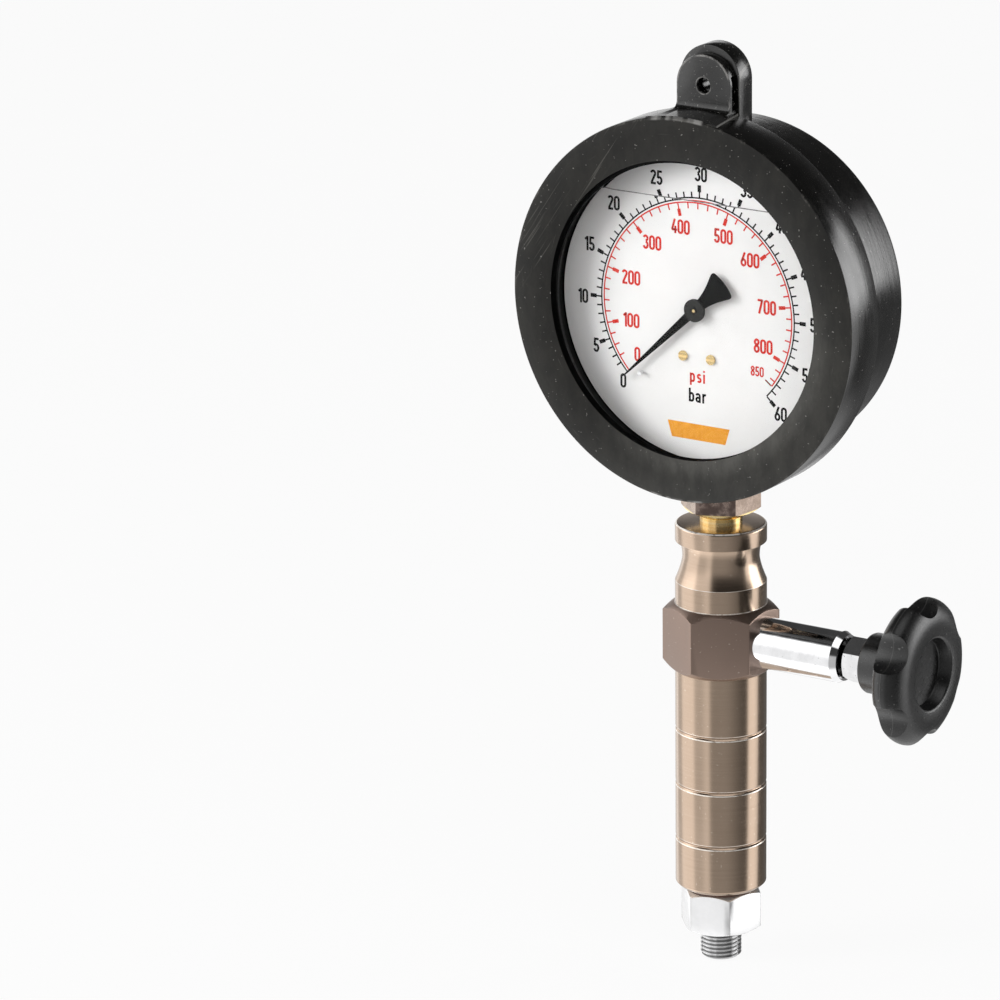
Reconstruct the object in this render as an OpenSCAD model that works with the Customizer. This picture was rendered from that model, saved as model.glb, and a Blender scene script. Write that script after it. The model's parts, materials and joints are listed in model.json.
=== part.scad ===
/* [Inlet fitting] */
// Outside diameter of the inlet thread and of the gauge thread
thread_d = 13.16; // [12.6:0.02:14]
// Length of the inlet thread below its hexagon
inlet_thread_len = 9.8; // [8:0.1:14]
// Chamfer at the ends of the threads
thread_chamfer = 0.8; // [0.4:0.1:1.2]
// Width across flats of the inlet hexagon
inlet_hex_af = 23; // [20:0.5:25]
// Height of the inlet hexagon
inlet_hex_h = 13.3; // [10:0.1:18]
// Turn of the inlet hexagon about the body axis
inlet_hex_turn = 13.5; // [0:0.5:60]
// Length of the inlet fitting's upper thread in the body
inlet_stud_len = 12; // [9:0.5:14]
// Bore of the inlet fitting
inlet_bore_d = 4.6; // [3:0.1:5]
// Thickness of the inlet seal washer
inlet_seal_t = 1.3; // [0.8:0.1:2]

/* [Check valve] */
// Diameter of the check valve chamber in the body
chamber_d = 10; // [9.4:0.1:11]
// Length of the check valve chamber above the inlet stud
chamber_len = 17.4; // [15:0.1:22]
// Gap between the poppet and the chamber wall
poppet_gap = 0.4; // [0.2:0.05:0.6]
// Thickness of the poppet's disc
poppet_disc_t = 3.5; // [3:0.1:5]
// Lift of the poppet off its seat
poppet_lift = 2.5; // [1:0.1:3]
// Section diameter of the poppet's seal ring
poppet_ring_d = 1.2; // [1:0.05:1.4]
// Wire diameter of the check valve spring
spring_wire_d = 0.7; // [0.5:0.05:0.9]
// Turns of the check valve spring
spring_turns = 6; // [4:1:8]

/* [Body] */
// Diameter of the turned barrel
body_d = 29; // [28:0.25:31]
// Length of the grip, from the bottom to the hexagon
grip_len = 72.2; // [64:0.1:90]
// Height of the first groove above the bottom
groove_first = 16.25; // [10:0.25:25]
// Distance from one groove to the next
groove_pitch = 18.25; // [12:0.25:19]
// Number of grooves
groove_count = 3; // [1:1:3]
// Width of a groove at the surface
groove_w = 1.2; // [0.6:0.1:2]
// Depth of a groove
groove_depth = 0.6; // [0.3:0.05:1]
// Width across flats of the body's hexagon
body_hex_af = 32; // [30.5:0.25:36]
// Height of the body's hexagon
body_hex_h = 22.1; // [20:0.1:28]
// Height of the chamfer at a corner of the hexagon
body_hex_chamfer = 2.8; // [1.5:0.1:4]
// Length of the round shoulder above the hexagon
shoulder_len = 7.3; // [4:0.1:12]
// Length of the waist
waist_len = 13; // [10:0.1:18]
// Diameter of the waist at its narrowest place
waist_d = 24.4; // [22:0.1:27]
// Share of the waist's length that lies below its narrowest place
waist_share = 0.6; // [0.5:0.05:0.7]
// Diameter of the waist under the collar
waist_top_d = 26; // [25:0.1:28]
// Length of the top collar
collar_len = 5.9; // [4:0.1:9]
// Chamfer on the barrel's bottom end
body_chamfer = 1.2; // [0.6:0.1:1.8]
// Chamfer on the collar's top
collar_chamfer = 0.6; // [0.3:0.1:1.5]
// Bore that carries the pressure from the check valve to the gauge
gas_bore_d = 5.6; // [4:0.1:6]
// Depth of the threaded hole for the gauge stem
gauge_hole_depth = 14; // [12:0.1:16]

/* [Vent valve] */
// Diameter of the bonnet outside the body
bonnet_d = 16.5; // [15.6:0.1:18]
// Length of the bonnet outside the body
bonnet_len = 30; // [26:0.25:36]
// Chamfer on the bonnet's outer end
bonnet_chamfer = 2; // [1:0.1:2.4]
// Thread diameter of the bonnet in the body
bonnet_thread_d = 14; // [13:0.1:15]
// Length of the bonnet's thread in the body
bonnet_thread_len = 9; // [7:0.1:9.6]
// Thickness of the bonnet's seal ring
bonnet_seal_t = 1; // [0.6:0.1:1.4]
// Diameter of the round recess in the bonnet's outer end
bonnet_recess_d = 12.4; // [11:0.1:12.8]
// Depth of the recess in the bonnet's outer end
bonnet_recess_depth = 1.2; // [0.5:0.1:2]
// Diameter of the spindle
spindle_d = 8; // [7:0.1:8.4]
// Radial running clearance of turning and sliding fits
run_clear = 0.05; // [0.02:0.01:0.09]
// Diameter of the seat's hole
seat_d = 3; // [2:0.1:3.4]
// Diameter of the swivel needle's shank
needle_d = 5; // [4.4:0.1:5.2]
// Opening travel of the needle
valve_travel = 2.5; // [1:0.1:3]
// Width across flats of the lock nut
nut_af = 13; // [12.4:0.1:14]
// Thickness of the lock nut
nut_t = 7; // [5:0.1:8]
// Gap between the bonnet's end and the lock nut when the valve is closed
nut_gap = 1.6; // [1:0.1:3]

/* [Knob] */
// Diameter of the knob
knob_d = 46.6; // [43:0.1:50]
// Half the thickness of the knob's rim
rim_half_t = 5.9; // [5:0.1:6.5]
// Depth of the rim's rounding, measured towards the axis
rim_round = 8.3; // [7:0.1:9]
// Diameter of the knob's hub
hub_d = 19.2; // [17:0.1:21]
// Length of the hub from the lock nut to the middle of the rim
hub_len = 16.4; // [13:0.1:20]
// Number of finger scallops
scallop_count = 6; // [4:1:7]
// Radius of a finger scallop
scallop_r = 7.2; // [6:0.1:8]
// Depth of a finger scallop
scallop_depth = 5; // [3:0.1:5.5]
// Diameter of the round recess in the knob's front
knob_recess_d = 22.4; // [20:0.1:24]
// Depth of the recess in the knob's front
knob_recess_depth = 4.4; // [2:0.1:5]

/* [Gauge stem] */
// Length of the bright neck between the collar and the stem's hexagon
neck_len = 3.9; // [2:0.1:6]
// Length of the stem's hexagon
stem_hex_len = 13.4; // [11:0.1:18]
// Diameter of the neck
neck_d = 13.5; // [13.4:0.05:15]
// Width across flats of the stem's hexagon
stem_hex_af = 22; // [20:0.5:23]
// Turn of the stem's hexagon about the body axis
stem_hex_turn = 22.4; // [0:0.2:60]
// Diameter of the stem where it passes through the case
shank_d = 18; // [16:0.1:19]
// Thickness of the copper washer under the stem
gauge_washer_t = 1.5; // [1:0.1:2]

/* [Gauge case] */
// Outside diameter of the case
case_d = 100.6; // [99:0.1:101.5]
// Thickness of the case's sheet
case_t = 1; // [0.8:0.1:1.2]
// Distance from the stem's axis back to the outside of the case
case_back = 15.9; // [14:0.1:18]
// Width of the case's front flange beyond its wall
flange_w = 2.7; // [2:0.1:3]
// Thickness of the case's front flange
flange_t = 1.2; // [1:0.1:1.5]
// Distance from the stem's axis forward to the case's front flange
flange_front = 14.8; // [14.4:0.1:16]
// Thickness of the window gasket
gasket_t = 2; // [1.5:0.1:2.5]
// Thickness of the window
window_t = 3; // [2.5:0.1:4]
// Thickness of the bezel ring's sheet
bezel_t = 1.2; // [1:0.1:1.3]
// Width of the bezel ring's front
bezel_lip_w = 6.8; // [6.2:0.1:7.2]
// Diameter of the fill plug
plug_d = 10; // [8:0.1:12]

/* [Dial and pointer] */
// Gap between the dial's edge and the case
dial_gap = 0.7; // [0.4:0.1:1.5]
// Thickness of the dial plate
dial_t = 0.8; // [0.5:0.1:1]
// Distance from the stem's axis forward to the dial's face
dial_front = 10.5; // [10.2:0.1:11]
// Length of the pointer from its axis to its tip
pointer_len = 35; // [30:0.1:36]
// Length of the pointer's fan-shaped tail
tail_len = 14.2; // [10:0.1:16]
// Half the angle of the fan-shaped tail
tail_half_angle = 18; // [10:0.5:24]
// Diameter of the pointer's hub
pointer_hub_d = 7.4; // [6:0.1:9]
// Thickness of the pointer's blade
pointer_t = 0.6; // [0.4:0.05:0.8]
// Gap between the dial's face and the pointer's hub
pointer_gap = 1.6; // [1.5:0.1:2]
// Angle of the scale's zero, counted from the dial's right
zero_angle = 226; // [220:1:230]
// Angle by which the pointer rests past the scale's zero
pointer_rest = 2.5; // [0:0.5:5]
// Angle from the pointer at zero to the stop pin
stop_lead = 3; // [2.6:0.1:5]
// Distance of the stop pin from the pointer's axis
stop_radius = 30.4; // [28:0.1:33]
// Diameter of the stop pin
stop_pin_d = 1.2; // [0.8:0.1:1.4]
// Distance between the dial screws
dial_screw_spacing = 10; // [8:0.2:12]
// Distance of the dial screws below the pointer's axis
dial_screw_drop = 15.4; // [14:0.2:17]
// Head diameter of a dial screw
dial_screw_head_d = 3.2; // [2.8:0.1:3.6]

/* [Movement] */
// Module of the gear teeth
gear_module = 0.35; // [0.33:0.01:0.37]
// Teeth of the pinion
pinion_teeth = 12; // [12:1:12]
// Teeth that the sector would have as a full wheel
sector_teeth = 120; // [120:1:120]
// Teeth cut on the sector
sector_cut_teeth = 14; // [13:1:15]
// Thickness of a movement plate
plate_t = 1; // [0.8:0.1:1.2]
// Gap between the two movement plates
plate_gap = 5.6; // [5.4:0.1:5.8]
// Thickness of the sector
sector_t = 1; // [0.8:0.1:1.1]
// Diameter of the arbors
arbor_d = 2.4; // [2:0.1:2.6]
// Diameter of a pillar
pillar_d = 3.6; // [3:0.1:4]
// Length of the sector's tail, from its arbor to the link pin
lever_len = 9; // [8.8:0.1:9.2]
// Angle of the sector's tail at rest
lever_angle = -25; // [-26:0.5:-24]
// Diameter of the link's pins
link_pin_d = 1.6; // [1.4:0.1:1.8]
// Width of the link
link_w = 3.6; // [3.2:0.1:4]
// Radial play of the link on the tube end's pin
link_play = 0.45; // [0.4:0.05:0.5]
// Mean radius of the pressure tube
tube_radius = 36; // [35.5:0.1:37]
// Thickness of the flattened pressure tube
tube_t = 3.6; // [3:0.1:4]
// Width of the flattened pressure tube
tube_w = 11; // [10:0.1:11.4]
// Wall thickness of the pressure tube
tube_wall = 0.7; // [0.5:0.05:0.9]

/* [Rubber boot] */
// Height of the boot's centre above the dial's
boot_rise = 1.5; // [0:0.1:2]
// Thickness of the boot's front rim round the bezel ring
boot_rim_t = 6.35; // [5:0.05:9]
// Thickness of the boot's wall round the case
boot_wall_t = 3.8; // [3:0.1:5]
// Width of the boot's front lip
boot_lip_w = 13.6; // [12.8:0.1:15]
// Width of the boot's front rim
boot_rim_w = 16.3; // [14:0.1:18]
// Thickness of the boot's front lip
boot_lip_t = 3; // [2:0.1:4]
// Thickness of the boot's back lip
boot_back_t = 3; // [2:0.1:4]
// Width of the boot's back lip
boot_back_lip_w = 14.2; // [10:0.1:20]
// Rounding of the boot's edges
boot_edge = 0.4; // [0.2:0.1:1.2]
// Gap between the boot and what it holds
boot_clear = 0.1; // [0.05:0.05:0.3]
// Width of the hanging lug
lug_w = 21.4; // [19:0.1:24]
// How much narrower the lug's thin front leaf is
lug_front_trim = 2; // [0:0.1:4]
// Height of the lug's hole above the boot's rim
lug_hole_rise = 7.65; // [6.5:0.05:9]
// Diameter of the lug's hole
lug_hole_d = 5; // [4.4:0.1:6]
// Thickness of the lug's front leaf
lug_leaf_t = 1; // [0.8:0.1:2]
// Width of the slot between the lug's leaves
lug_slot_w = 2.8; // [1.8:0.1:3.2]
// Thickness of the lug's rear leaf
lug_rear_t = 7.6; // [6:0.1:9]
// Extra height of the lug's rear leaf
lug_rear_rise = 1.4; // [0.5:0.1:2]
// Height of the pad in front of the lug above the rim's top
pad_rise = 0.5; // [0.4:0.05:1.2]
// Extra width of the pad's front on each side
pad_flare = 2; // [0.5:0.1:3]

/* [Hidden] */
$fn = 96;

// Clearance of a piece pushed or screwed into another one
seat_clear = 0.04;
// Overshoot of a cut past the face it opens
cut = 1;
hex_corner = 1 / cos(30);

// Heights on the body's axis, from the inlet shoulder up
thread_r = thread_d / 2;
hole_r = thread_r + seat_clear;
body_r = body_d / 2;
body_z = inlet_hex_h + inlet_seal_t;
stud_top_z = body_z + inlet_stud_len;
chamber_top_z = stud_top_z + chamber_len;
body_hex_z = body_z + grip_len;
valve_z = body_hex_z + body_hex_h / 2;
shoulder_z = body_hex_z + body_hex_h;
waist_z = shoulder_z + shoulder_len;
collar_z = waist_z + waist_len;
collar_top_z = collar_z + collar_len;
gauge_hole_z = collar_top_z - gauge_hole_depth;
stem_hex_z = collar_top_z + neck_len;
shank_z = stem_hex_z + stem_hex_len;

// Places along the vent valve's axis, from the body's axis out
bonnet_x = body_hex_af / 2;
port_floor_x = bonnet_x - bonnet_thread_len - bonnet_seal_t;
bonnet_end_x = bonnet_x + bonnet_len;
spindle_r = spindle_d / 2;
packing_r = spindle_r + 1.05;
packing_end_x = bonnet_x + 10;
nut_x = bonnet_end_x + nut_gap;
knob_x = nut_x + nut_t;
rim_x = knob_x + hub_len;
knob_r = knob_d / 2;
knob_front_x = rim_x + rim_half_t;
knob_floor_x = knob_front_x - knob_recess_depth;
insert_end_x = knob_floor_x - 3.5;
spindle_end_x = insert_end_x - 1;
// The needle's cone and shank
needle_r = needle_d / 2;
needle_tip_r = 0.5;
needle_cone_len = 3.5;
needle_seat_r = seat_d / 2 - run_clear;
needle_tip_x = port_floor_x - needle_cone_len * (needle_seat_r - needle_tip_r) / (needle_r - needle_tip_r);
needle_end_x = needle_tip_x + needle_cone_len + 8;
spindle_start_x = needle_tip_x + needle_cone_len + 2;
// The ring that seals the spindle
ring_x = bonnet_x + 6;
ring_section_d = 1.76;
ring_groove_r = packing_r - ring_section_d - 0.19;

// Radii and depths of the gauge, with depths counted from the stem's axis to the front
case_r = case_d / 2;
case_in_r = case_r - case_t;
flange_r = case_r + flange_w;
gasket_front = flange_front + gasket_t;
window_front = gasket_front + window_t;
bezel_front = window_front + bezel_t;
bezel_in_r = flange_r + 0.2;
bezel_r = bezel_in_r + bezel_t;
bezel_opening_r = bezel_r - bezel_lip_w;
gauge_z = shank_z + bezel_r + 0.4;
bezel_back = flange_front - flange_t - 0.1 - bezel_t;
glass_r = flange_r - 0.6;
gasket_in_r = case_in_r - 0.5;
dial_back = dial_front - dial_t;
pointer_back = dial_front + pointer_gap;
pointer_hub_t = 1.8;
blade_back = pointer_back + 0.8;
plate_front = dial_back - 1.1;
plate_front_back = plate_front - plate_t;
back_plate_front = plate_front_back - plate_gap;
tongue_front = back_plate_front - plate_t;
sector_back = back_plate_front + 2.6;
lever_front = sector_back + sector_t;
link_back = lever_front + 0.2;
link_t = 0.8;

// Gear sizes
pinion_r = gear_module * pinion_teeth / 2;
sector_r = gear_module * sector_teeth / 2;
tooth_add = 0.8 * gear_module;
tooth_ded = 1.15 * gear_module;
arbor_r = arbor_d / 2;
sector_pos = [0, -(pinion_r + sector_r)];
lever_pos = sector_pos + lever_len * [cos(lever_angle), sin(lever_angle)];
tip_pin_pos = [28, -10];
link_len = norm(tip_pin_pos - lever_pos);
link_angle = atan2(tip_pin_pos[1] - lever_pos[1], tip_pin_pos[0] - lever_pos[0]);
pillar_pos = [[-11, 5], [11, 5], [10, sector_pos[1] - 8], [-10, sector_pos[1] - 6]];
plate_screw_spacing = 11;
plate_screw_rise = 7.6;
block_bottom = -(case_in_r - 1.6);
plate_screw_pos = [for (side = [-1, 1]) [side * plate_screw_spacing / 2, block_bottom + plate_screw_rise]];
hairspring_in_r = 2.15;
hairspring_pitch = 1.1;
hairspring_turns = 4;
hairspring_back = plate_front_back - 1.2;
hairspring_w = 0.8;
collet_r = 1.95;

// The pressure tube and the block that carries it
tube_mid = tongue_front - 5.2;
tube_start_angle = 252;
tube_end_angle = -15;
tube_end_step = 6;
block_half_w = shank_d / 2 + 0.8;
block_top = sector_pos[1] - 8;
block_back = tongue_front - 10.4;
stem_bore_r = 2.5;

// The boot
boot_r = bezel_r + boot_clear + boot_rim_t;
boot_rear_r = case_r + boot_clear + boot_wall_t;
boot_opening_r = boot_r - boot_lip_w;
boot_back_opening_r = boot_rear_r - boot_back_lip_w;
boot_front = bezel_front + boot_clear + boot_lip_t;
boot_step = boot_front - boot_rim_w;
boot_back = -case_back - boot_clear - boot_back_t;
pad_top = boot_r + pad_rise;
lug_hole_y = boot_r + lug_hole_rise;
lug_front = boot_step + 2.6;
lug_slot_front = lug_front - lug_leaf_t;
lug_rear_front = lug_slot_front - lug_slot_w;
lug_back = lug_rear_front - lug_rear_t;
stem_hole_r = stem_hex_af / 2 * hex_corner + 0.5;

// Moves what is drawn in the dial's plane to the gauge: right, up, then forward
module at_gauge() {
    translate([0, 0, gauge_z])
        rotate([90, 0, 0])
            children();
}

// Moves what is turned about the height axis onto the vent valve's axis
module at_valve() {
    translate([0, 0, valve_z])
        rotate([0, 90, 0])
            children();
}

// A round bar or tube from one height to another
module rod(radius, from, to) {
    translate([0, 0, from])
        cylinder(r = radius, h = to - from);
}

module ring(outer, inner, from, to) {
    difference() {
        rod(outer, from, to);
        rod(inner, from - cut, to + cut);
    }
}

// A hexagon bar with its corners turned off at both ends
module hex_bar(af, from, to, end_r, chamfer) {
    corner_r = af / 2 * hex_corner;
    intersection() {
        translate([0, 0, from])
            cylinder(r = corner_r, h = to - from, $fn = 6);
        rotate_extrude()
            polygon([[0, from], [end_r, from], [corner_r, from + chamfer], [corner_r, to - chamfer],
                [end_r, to], [0, to]]);
    }
}

module o_ring(radius, section_d, height) {
    translate([0, 0, height])
        rotate_extrude()
            translate([radius, 0])
                circle(d = section_d, $fn = 32);
}

// The plated fitting that screws into the engine's adapter
module inlet_fitting() {
    chamfer_r = thread_r - thread_chamfer;
    color("gainsboro")
        difference() {
            union() {
                rotate_extrude()
                    polygon([[0, -inlet_thread_len], [chamfer_r, -inlet_thread_len],
                        [thread_r, -inlet_thread_len + thread_chamfer], [thread_r, 0], [0, 0]]);
                rotate(inlet_hex_turn)
                    hex_bar(inlet_hex_af, 0, inlet_hex_h, inlet_hex_af / 2 - 0.2, 1.1);
                rod(thread_r, inlet_hex_h, stud_top_z);
            }
            rod(inlet_bore_d / 2, -inlet_thread_len - cut, stud_top_z + cut);
        }
}

module inlet_seal() {
    color("dimgray")
        ring(thread_r + 3.6, hole_r, inlet_hex_h, body_z);
}

poppet_r = chamber_d / 2 - poppet_gap;
poppet_z = stud_top_z + 0.3;
poppet_top_z = poppet_z + poppet_disc_t;
poppet_ring_r = inlet_bore_d / 2 + 1.1;
poppet_stem_r = 1.7;

// The valve disc that lifts to let the pressure in and drops to hold it
module check_poppet() {
    notch_r = 1.3;
    groove_half = poppet_ring_d / 2 + 0.05;
    color("goldenrod")
        difference() {
            union() {
                rod(poppet_r, poppet_z, poppet_top_z);
                rod(poppet_stem_r, poppet_top_z, poppet_top_z + 5);
            }
            ring(poppet_ring_r + groove_half, poppet_ring_r - groove_half,
                poppet_z - cut, stud_top_z + poppet_ring_d + 0.1);
            for (i = [0:2])
                rotate(120 * i)
                    translate([poppet_r + 0.3, 0, 0])
                        rod(notch_r, stud_top_z + poppet_ring_d + 0.6, poppet_top_z + cut);
        }
}

module poppet_o_ring() {
    color("black")
        o_ring(poppet_ring_r, poppet_ring_d, stud_top_z + poppet_ring_d / 2 + 0.02);
}

// A wire swept along a helix, with flat cut ends
module helix(radius, wire_d, from, to, turns) {
    sides = 6;
    steps = 14 * turns;
    rise = to - from - wire_d;
    points = [for (i = [0:steps], k = [0:sides - 1])
        let (turn = 360 * turns * i / steps, side = 360 * k / sides)
            [(radius + wire_d / 2 * cos(side)) * cos(turn), (radius + wire_d / 2 * cos(side)) * sin(turn),
                from + wire_d / 2 + rise * i / steps + wire_d / 2 * sin(side)]];
    walls = [for (i = [0:steps - 1], k = [0:sides - 1])
        let (a = i * sides + k, b = i * sides + (k + 1) % sides)
            [a, a + sides, b + sides, b]];
    start = [for (k = [0:sides - 1]) k];
    end = [for (k = [sides - 1:-1:0]) steps * sides + k];
    polyhedron(points, concat([start], walls, [end]), convexity = 10);
}

module check_spring() {
    coil_r = chamber_d / 2 - poppet_gap - spring_wire_d - 0.4;
    color("silver")
        helix(coil_r, spring_wire_d, poppet_top_z + 0.02, chamber_top_z - 0.02, spring_turns);
}

// The turned barrel with its hexagon, waist and collar
module tester_body() {
    color([0.42, 0.33, 0.27])
        difference() {
            union() {
                rotate_extrude()
                    polygon(barrel_profile());
                rotate(30)
                    hex_bar(body_hex_af, body_hex_z, shoulder_z, body_r, body_hex_chamfer);
            }
            rod(hole_r, body_z - cut, stud_top_z + 0.3);
            rod(chamber_d / 2, stud_top_z, chamber_top_z);
            rod(gas_bore_d / 2, chamber_top_z - cut, gauge_hole_z + cut);
            rod(hole_r, gauge_hole_z, collar_top_z + cut);
            at_valve() {
                rod(bonnet_thread_d / 2 + seat_clear, port_floor_x, bonnet_x + cut);
                rod(seat_d / 2, 0, port_floor_x + cut);
            }
        }
}

// The barrel's outline: grooves on the grip, a cove at the waist, chamfers at both ends
function barrel_profile() = concat(
    [[0, body_z], [body_r - body_chamfer, body_z], [body_r, body_z + body_chamfer]],
    [for (i = [0:groove_count - 1], p = [[0, -groove_w / 2], [groove_depth, 0], [0, groove_w / 2]])
        [body_r - p[0], body_z + groove_first + i * groove_pitch + p[1]]],
    [[body_r, waist_z]],
    [for (i = [1:6])
        [waist_d / 2 + (body_d - waist_d) / 2 * pow(1 - i / 6, 1.5), waist_z + waist_len * waist_share * i / 6]],
    [for (i = [1:4])
        [waist_d / 2 + (waist_top_d - waist_d) / 2 * i * i / 16,
            waist_z + waist_len * (waist_share + (1 - waist_share) * i / 4)]],
    [[body_r, collar_z], [body_r, collar_top_z - collar_chamfer], [body_r - collar_chamfer, collar_top_z],
        [0, collar_top_z]]);

module bonnet_seal() {
    color("whitesmoke")
        at_valve()
            ring(bonnet_thread_d / 2 - 0.1, needle_r + 1, port_floor_x, port_floor_x + bonnet_seal_t);
}

// The bonnet guides the spindle, holds its packing and lets the vented gas out below
module valve_bonnet() {
    bonnet_r = bonnet_d / 2;
    vent_r = 0.8;
    thread_start_x = port_floor_x + bonnet_seal_t;
    color("silver")
        difference() {
            at_valve()
                difference() {
                    union() {
                        rod(bonnet_thread_d / 2, thread_start_x, bonnet_x);
                        rotate_extrude()
                            polygon([[0, bonnet_x], [bonnet_r, bonnet_x],
                                [bonnet_r, bonnet_end_x - bonnet_chamfer],
                                [bonnet_r - bonnet_chamfer / 2, bonnet_end_x], [0, bonnet_end_x]]);
                    }
                    rod(packing_r, thread_start_x - cut, packing_end_x);
                    rod(spindle_r + run_clear, thread_start_x, bonnet_end_x + cut);
                    rod(bonnet_recess_d / 2, bonnet_end_x - bonnet_recess_depth, bonnet_end_x + cut);
                }
            translate([bonnet_x + 2, 0, valve_z - bonnet_d])
                cylinder(r = vent_r, h = bonnet_d, $fn = 32);
        }
}

// The swivelling needle that closes the seat without turning on it
module needle_tip() {
    color("lightsteelblue")
        at_valve()
            rotate_extrude()
                polygon([[0, needle_tip_x], [needle_tip_r, needle_tip_x],
                    [needle_r, needle_tip_x + needle_cone_len], [needle_r, needle_end_x], [0, needle_end_x]]);
}

module valve_spindle() {
    color("lightgray")
        at_valve()
            difference() {
                rod(spindle_r, spindle_start_x, spindle_end_x);
                rod(needle_r + run_clear, spindle_start_x - cut, needle_end_x + run_clear);
                ring(spindle_r + cut, ring_groove_r, ring_x - 1, ring_x + 1);
            }
}

module spindle_o_ring() {
    color("black")
        at_valve()
            o_ring(packing_r - ring_section_d / 2 - 0.14, ring_section_d, ring_x);
}

module lock_nut() {
    color("gainsboro")
        at_valve()
            difference() {
                hex_bar(nut_af, nut_x, knob_x, nut_af / 2 - 0.1, 0.6);
                rod(spindle_r + seat_clear, nut_x - cut, knob_x + cut);
            }
}

// The knob's outline: hub, back of the rim, rounded rim, front face and recess
function knob_profile() = concat(
    [[0, knob_x], [hub_d / 2 - 0.8, knob_x], [hub_d / 2, knob_x + 0.8], [hub_d / 2, rim_x - rim_half_t - 1.2],
        [hub_d / 2 + 1.2, rim_x - rim_half_t]],
    [for (i = [0:16])
        let (a = -90 + 180 * i / 16)
            [knob_r - rim_round + rim_round * cos(a), rim_x + rim_half_t * sin(a)]],
    [[knob_recess_d / 2 + 0.4, knob_front_x], [knob_recess_d / 2, knob_front_x - 0.4],
        [knob_recess_d / 2 - 0.3, knob_floor_x], [0, knob_floor_x]]);

module knob() {
    color([0.12, 0.12, 0.12])
        at_valve()
            difference() {
                rotate_extrude()
                    polygon(knob_profile());
                for (i = [0:scallop_count - 1])
                    rotate(180 + 360 * i / scallop_count)
                        translate([knob_r - scallop_depth + scallop_r, 0, 0])
                            rod(scallop_r, rim_x - rim_half_t - cut, knob_front_x + cut);
                rod(insert_r, knob_x - cut, insert_end_x);
            }
}

insert_r = spindle_r + 2;

module knob_insert() {
    color("goldenrod")
        at_valve()
            ring(insert_r, spindle_r + seat_clear, knob_x, insert_end_x);
}

module gauge_seal_washer() {
    color("peru")
        ring(thread_r - 0.2, stem_bore_r + 0.2, gauge_hole_z, gauge_hole_z + gauge_washer_t);
}

stem_z = gauge_hole_z + gauge_washer_t;

// The brass stem, with the block inside the case that carries the tube and the movement
module gauge_socket() {
    neck_r = neck_d / 2;
    color("darkgoldenrod")
        difference() {
            union() {
                rod(thread_r, stem_z, collar_top_z);
                rotate_extrude()
                    polygon([[0, collar_top_z], [neck_r, collar_top_z], [neck_r, stem_hex_z - 1.6],
                        [neck_r - 0.5, stem_hex_z - 1.3], [neck_r - 0.5, stem_hex_z], [0, stem_hex_z]]);
                rotate(stem_hex_turn)
                    hex_bar(stem_hex_af, stem_hex_z, shank_z, stem_hex_af / 2 - 1, 1.4);
                rod(shank_d / 2, stem_hex_z + 2, gauge_z + block_bottom + 2);
                at_gauge()
                    socket_block();
            }
            rod(stem_bore_r, stem_z - cut, gauge_z - tube_radius + stem_bore_r);
            at_gauge() {
                translate([0, -tube_radius + 1.6, tube_mid + 3])
                    rotate([0, -90, 0])
                        cylinder(r = 1.2, h = tube_radius);
                for (p = plate_screw_pos)
                    translate(p)
                        rod(plate_screw_r, tongue_front - plate_screw_len, tongue_front + cut);
            }
        }
}

plate_screw_r = 1.2;
plate_screw_len = 5;

module socket_block() {
    boss_half = tube_t / 2 + 1.4;
    translate([-block_half_w, block_bottom, block_back])
        cube([2 * block_half_w, block_top - block_bottom, tongue_front - block_back]);
    rotate(tube_start_angle)
        rotate_extrude(angle = 8)
            translate([tube_radius - boss_half, block_back])
                square([2 * boss_half, tongue_front - block_back]);
}

module restrictor_screw() {
    color("gold")
        ring(stem_bore_r - seat_clear, 0.4, stem_z + 1, stem_z + 5);
}

// The pressed can of the gauge, open at the front where it has a flange
module gauge_case() {
    color("silver")
        difference() {
            at_gauge()
                rotate_extrude()
                    polygon([[0, -case_back], [case_r, -case_back], [case_r, flange_front - flange_t],
                        [flange_r, flange_front - flange_t], [flange_r, flange_front],
                        [case_in_r, flange_front], [case_in_r, case_t - case_back], [0, case_t - case_back]]);
            rod(shank_d / 2 + seat_clear, gauge_z - case_r - cut, gauge_z + block_bottom);
            translate([0, -plug_depth, 0])
                rod(plug_d / 2 + seat_clear, gauge_z + case_in_r - 3, gauge_z + case_r + cut);
        }
}

// Depth of the fill plug's axis, counted towards the front
plug_depth = -4;

module fill_plug() {
    rim_r = plug_d / 2 + 1.5;
    rim_top = sqrt(case_in_r * case_in_r - rim_r * rim_r) - 0.1;
    plug_top = sqrt(case_r * case_r - plug_d * plug_d / 4) - 0.1;
    color("black")
        translate([0, -plug_depth, gauge_z]) {
            rod(plug_d / 2, rim_top - 1.6, plug_top);
            rod(rim_r, rim_top - 1.6, rim_top);
        }
}

// The ring that is rolled round the case's flange to hold the window
module bezel_ring() {
    color("silver")
        at_gauge()
            rotate_extrude()
                polygon([[bezel_opening_r, window_front], [bezel_opening_r, bezel_front],
                    [bezel_r, bezel_front], [bezel_r, bezel_back], [case_r + 0.7, bezel_back],
                    [case_r + 0.7, bezel_back + bezel_t], [bezel_in_r, bezel_back + bezel_t],
                    [bezel_in_r, window_front]]);
}

module window_gasket() {
    color("dimgray")
        at_gauge()
            ring(glass_r, gasket_in_r, flange_front, gasket_front);
}

module window() {
    color([0.85, 0.92, 0.95, 0.35])
        at_gauge()
            rod(glass_r, gasket_front, window_front);
}

function dial_screw_pos() = [for (side = [-1, 1]) [side * dial_screw_spacing / 2, -dial_screw_drop]];
dial_screw_r = 0.9;

stop_angle = zero_angle + stop_lead;
stop_pos = stop_radius * [cos(stop_angle), sin(stop_angle)];

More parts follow.
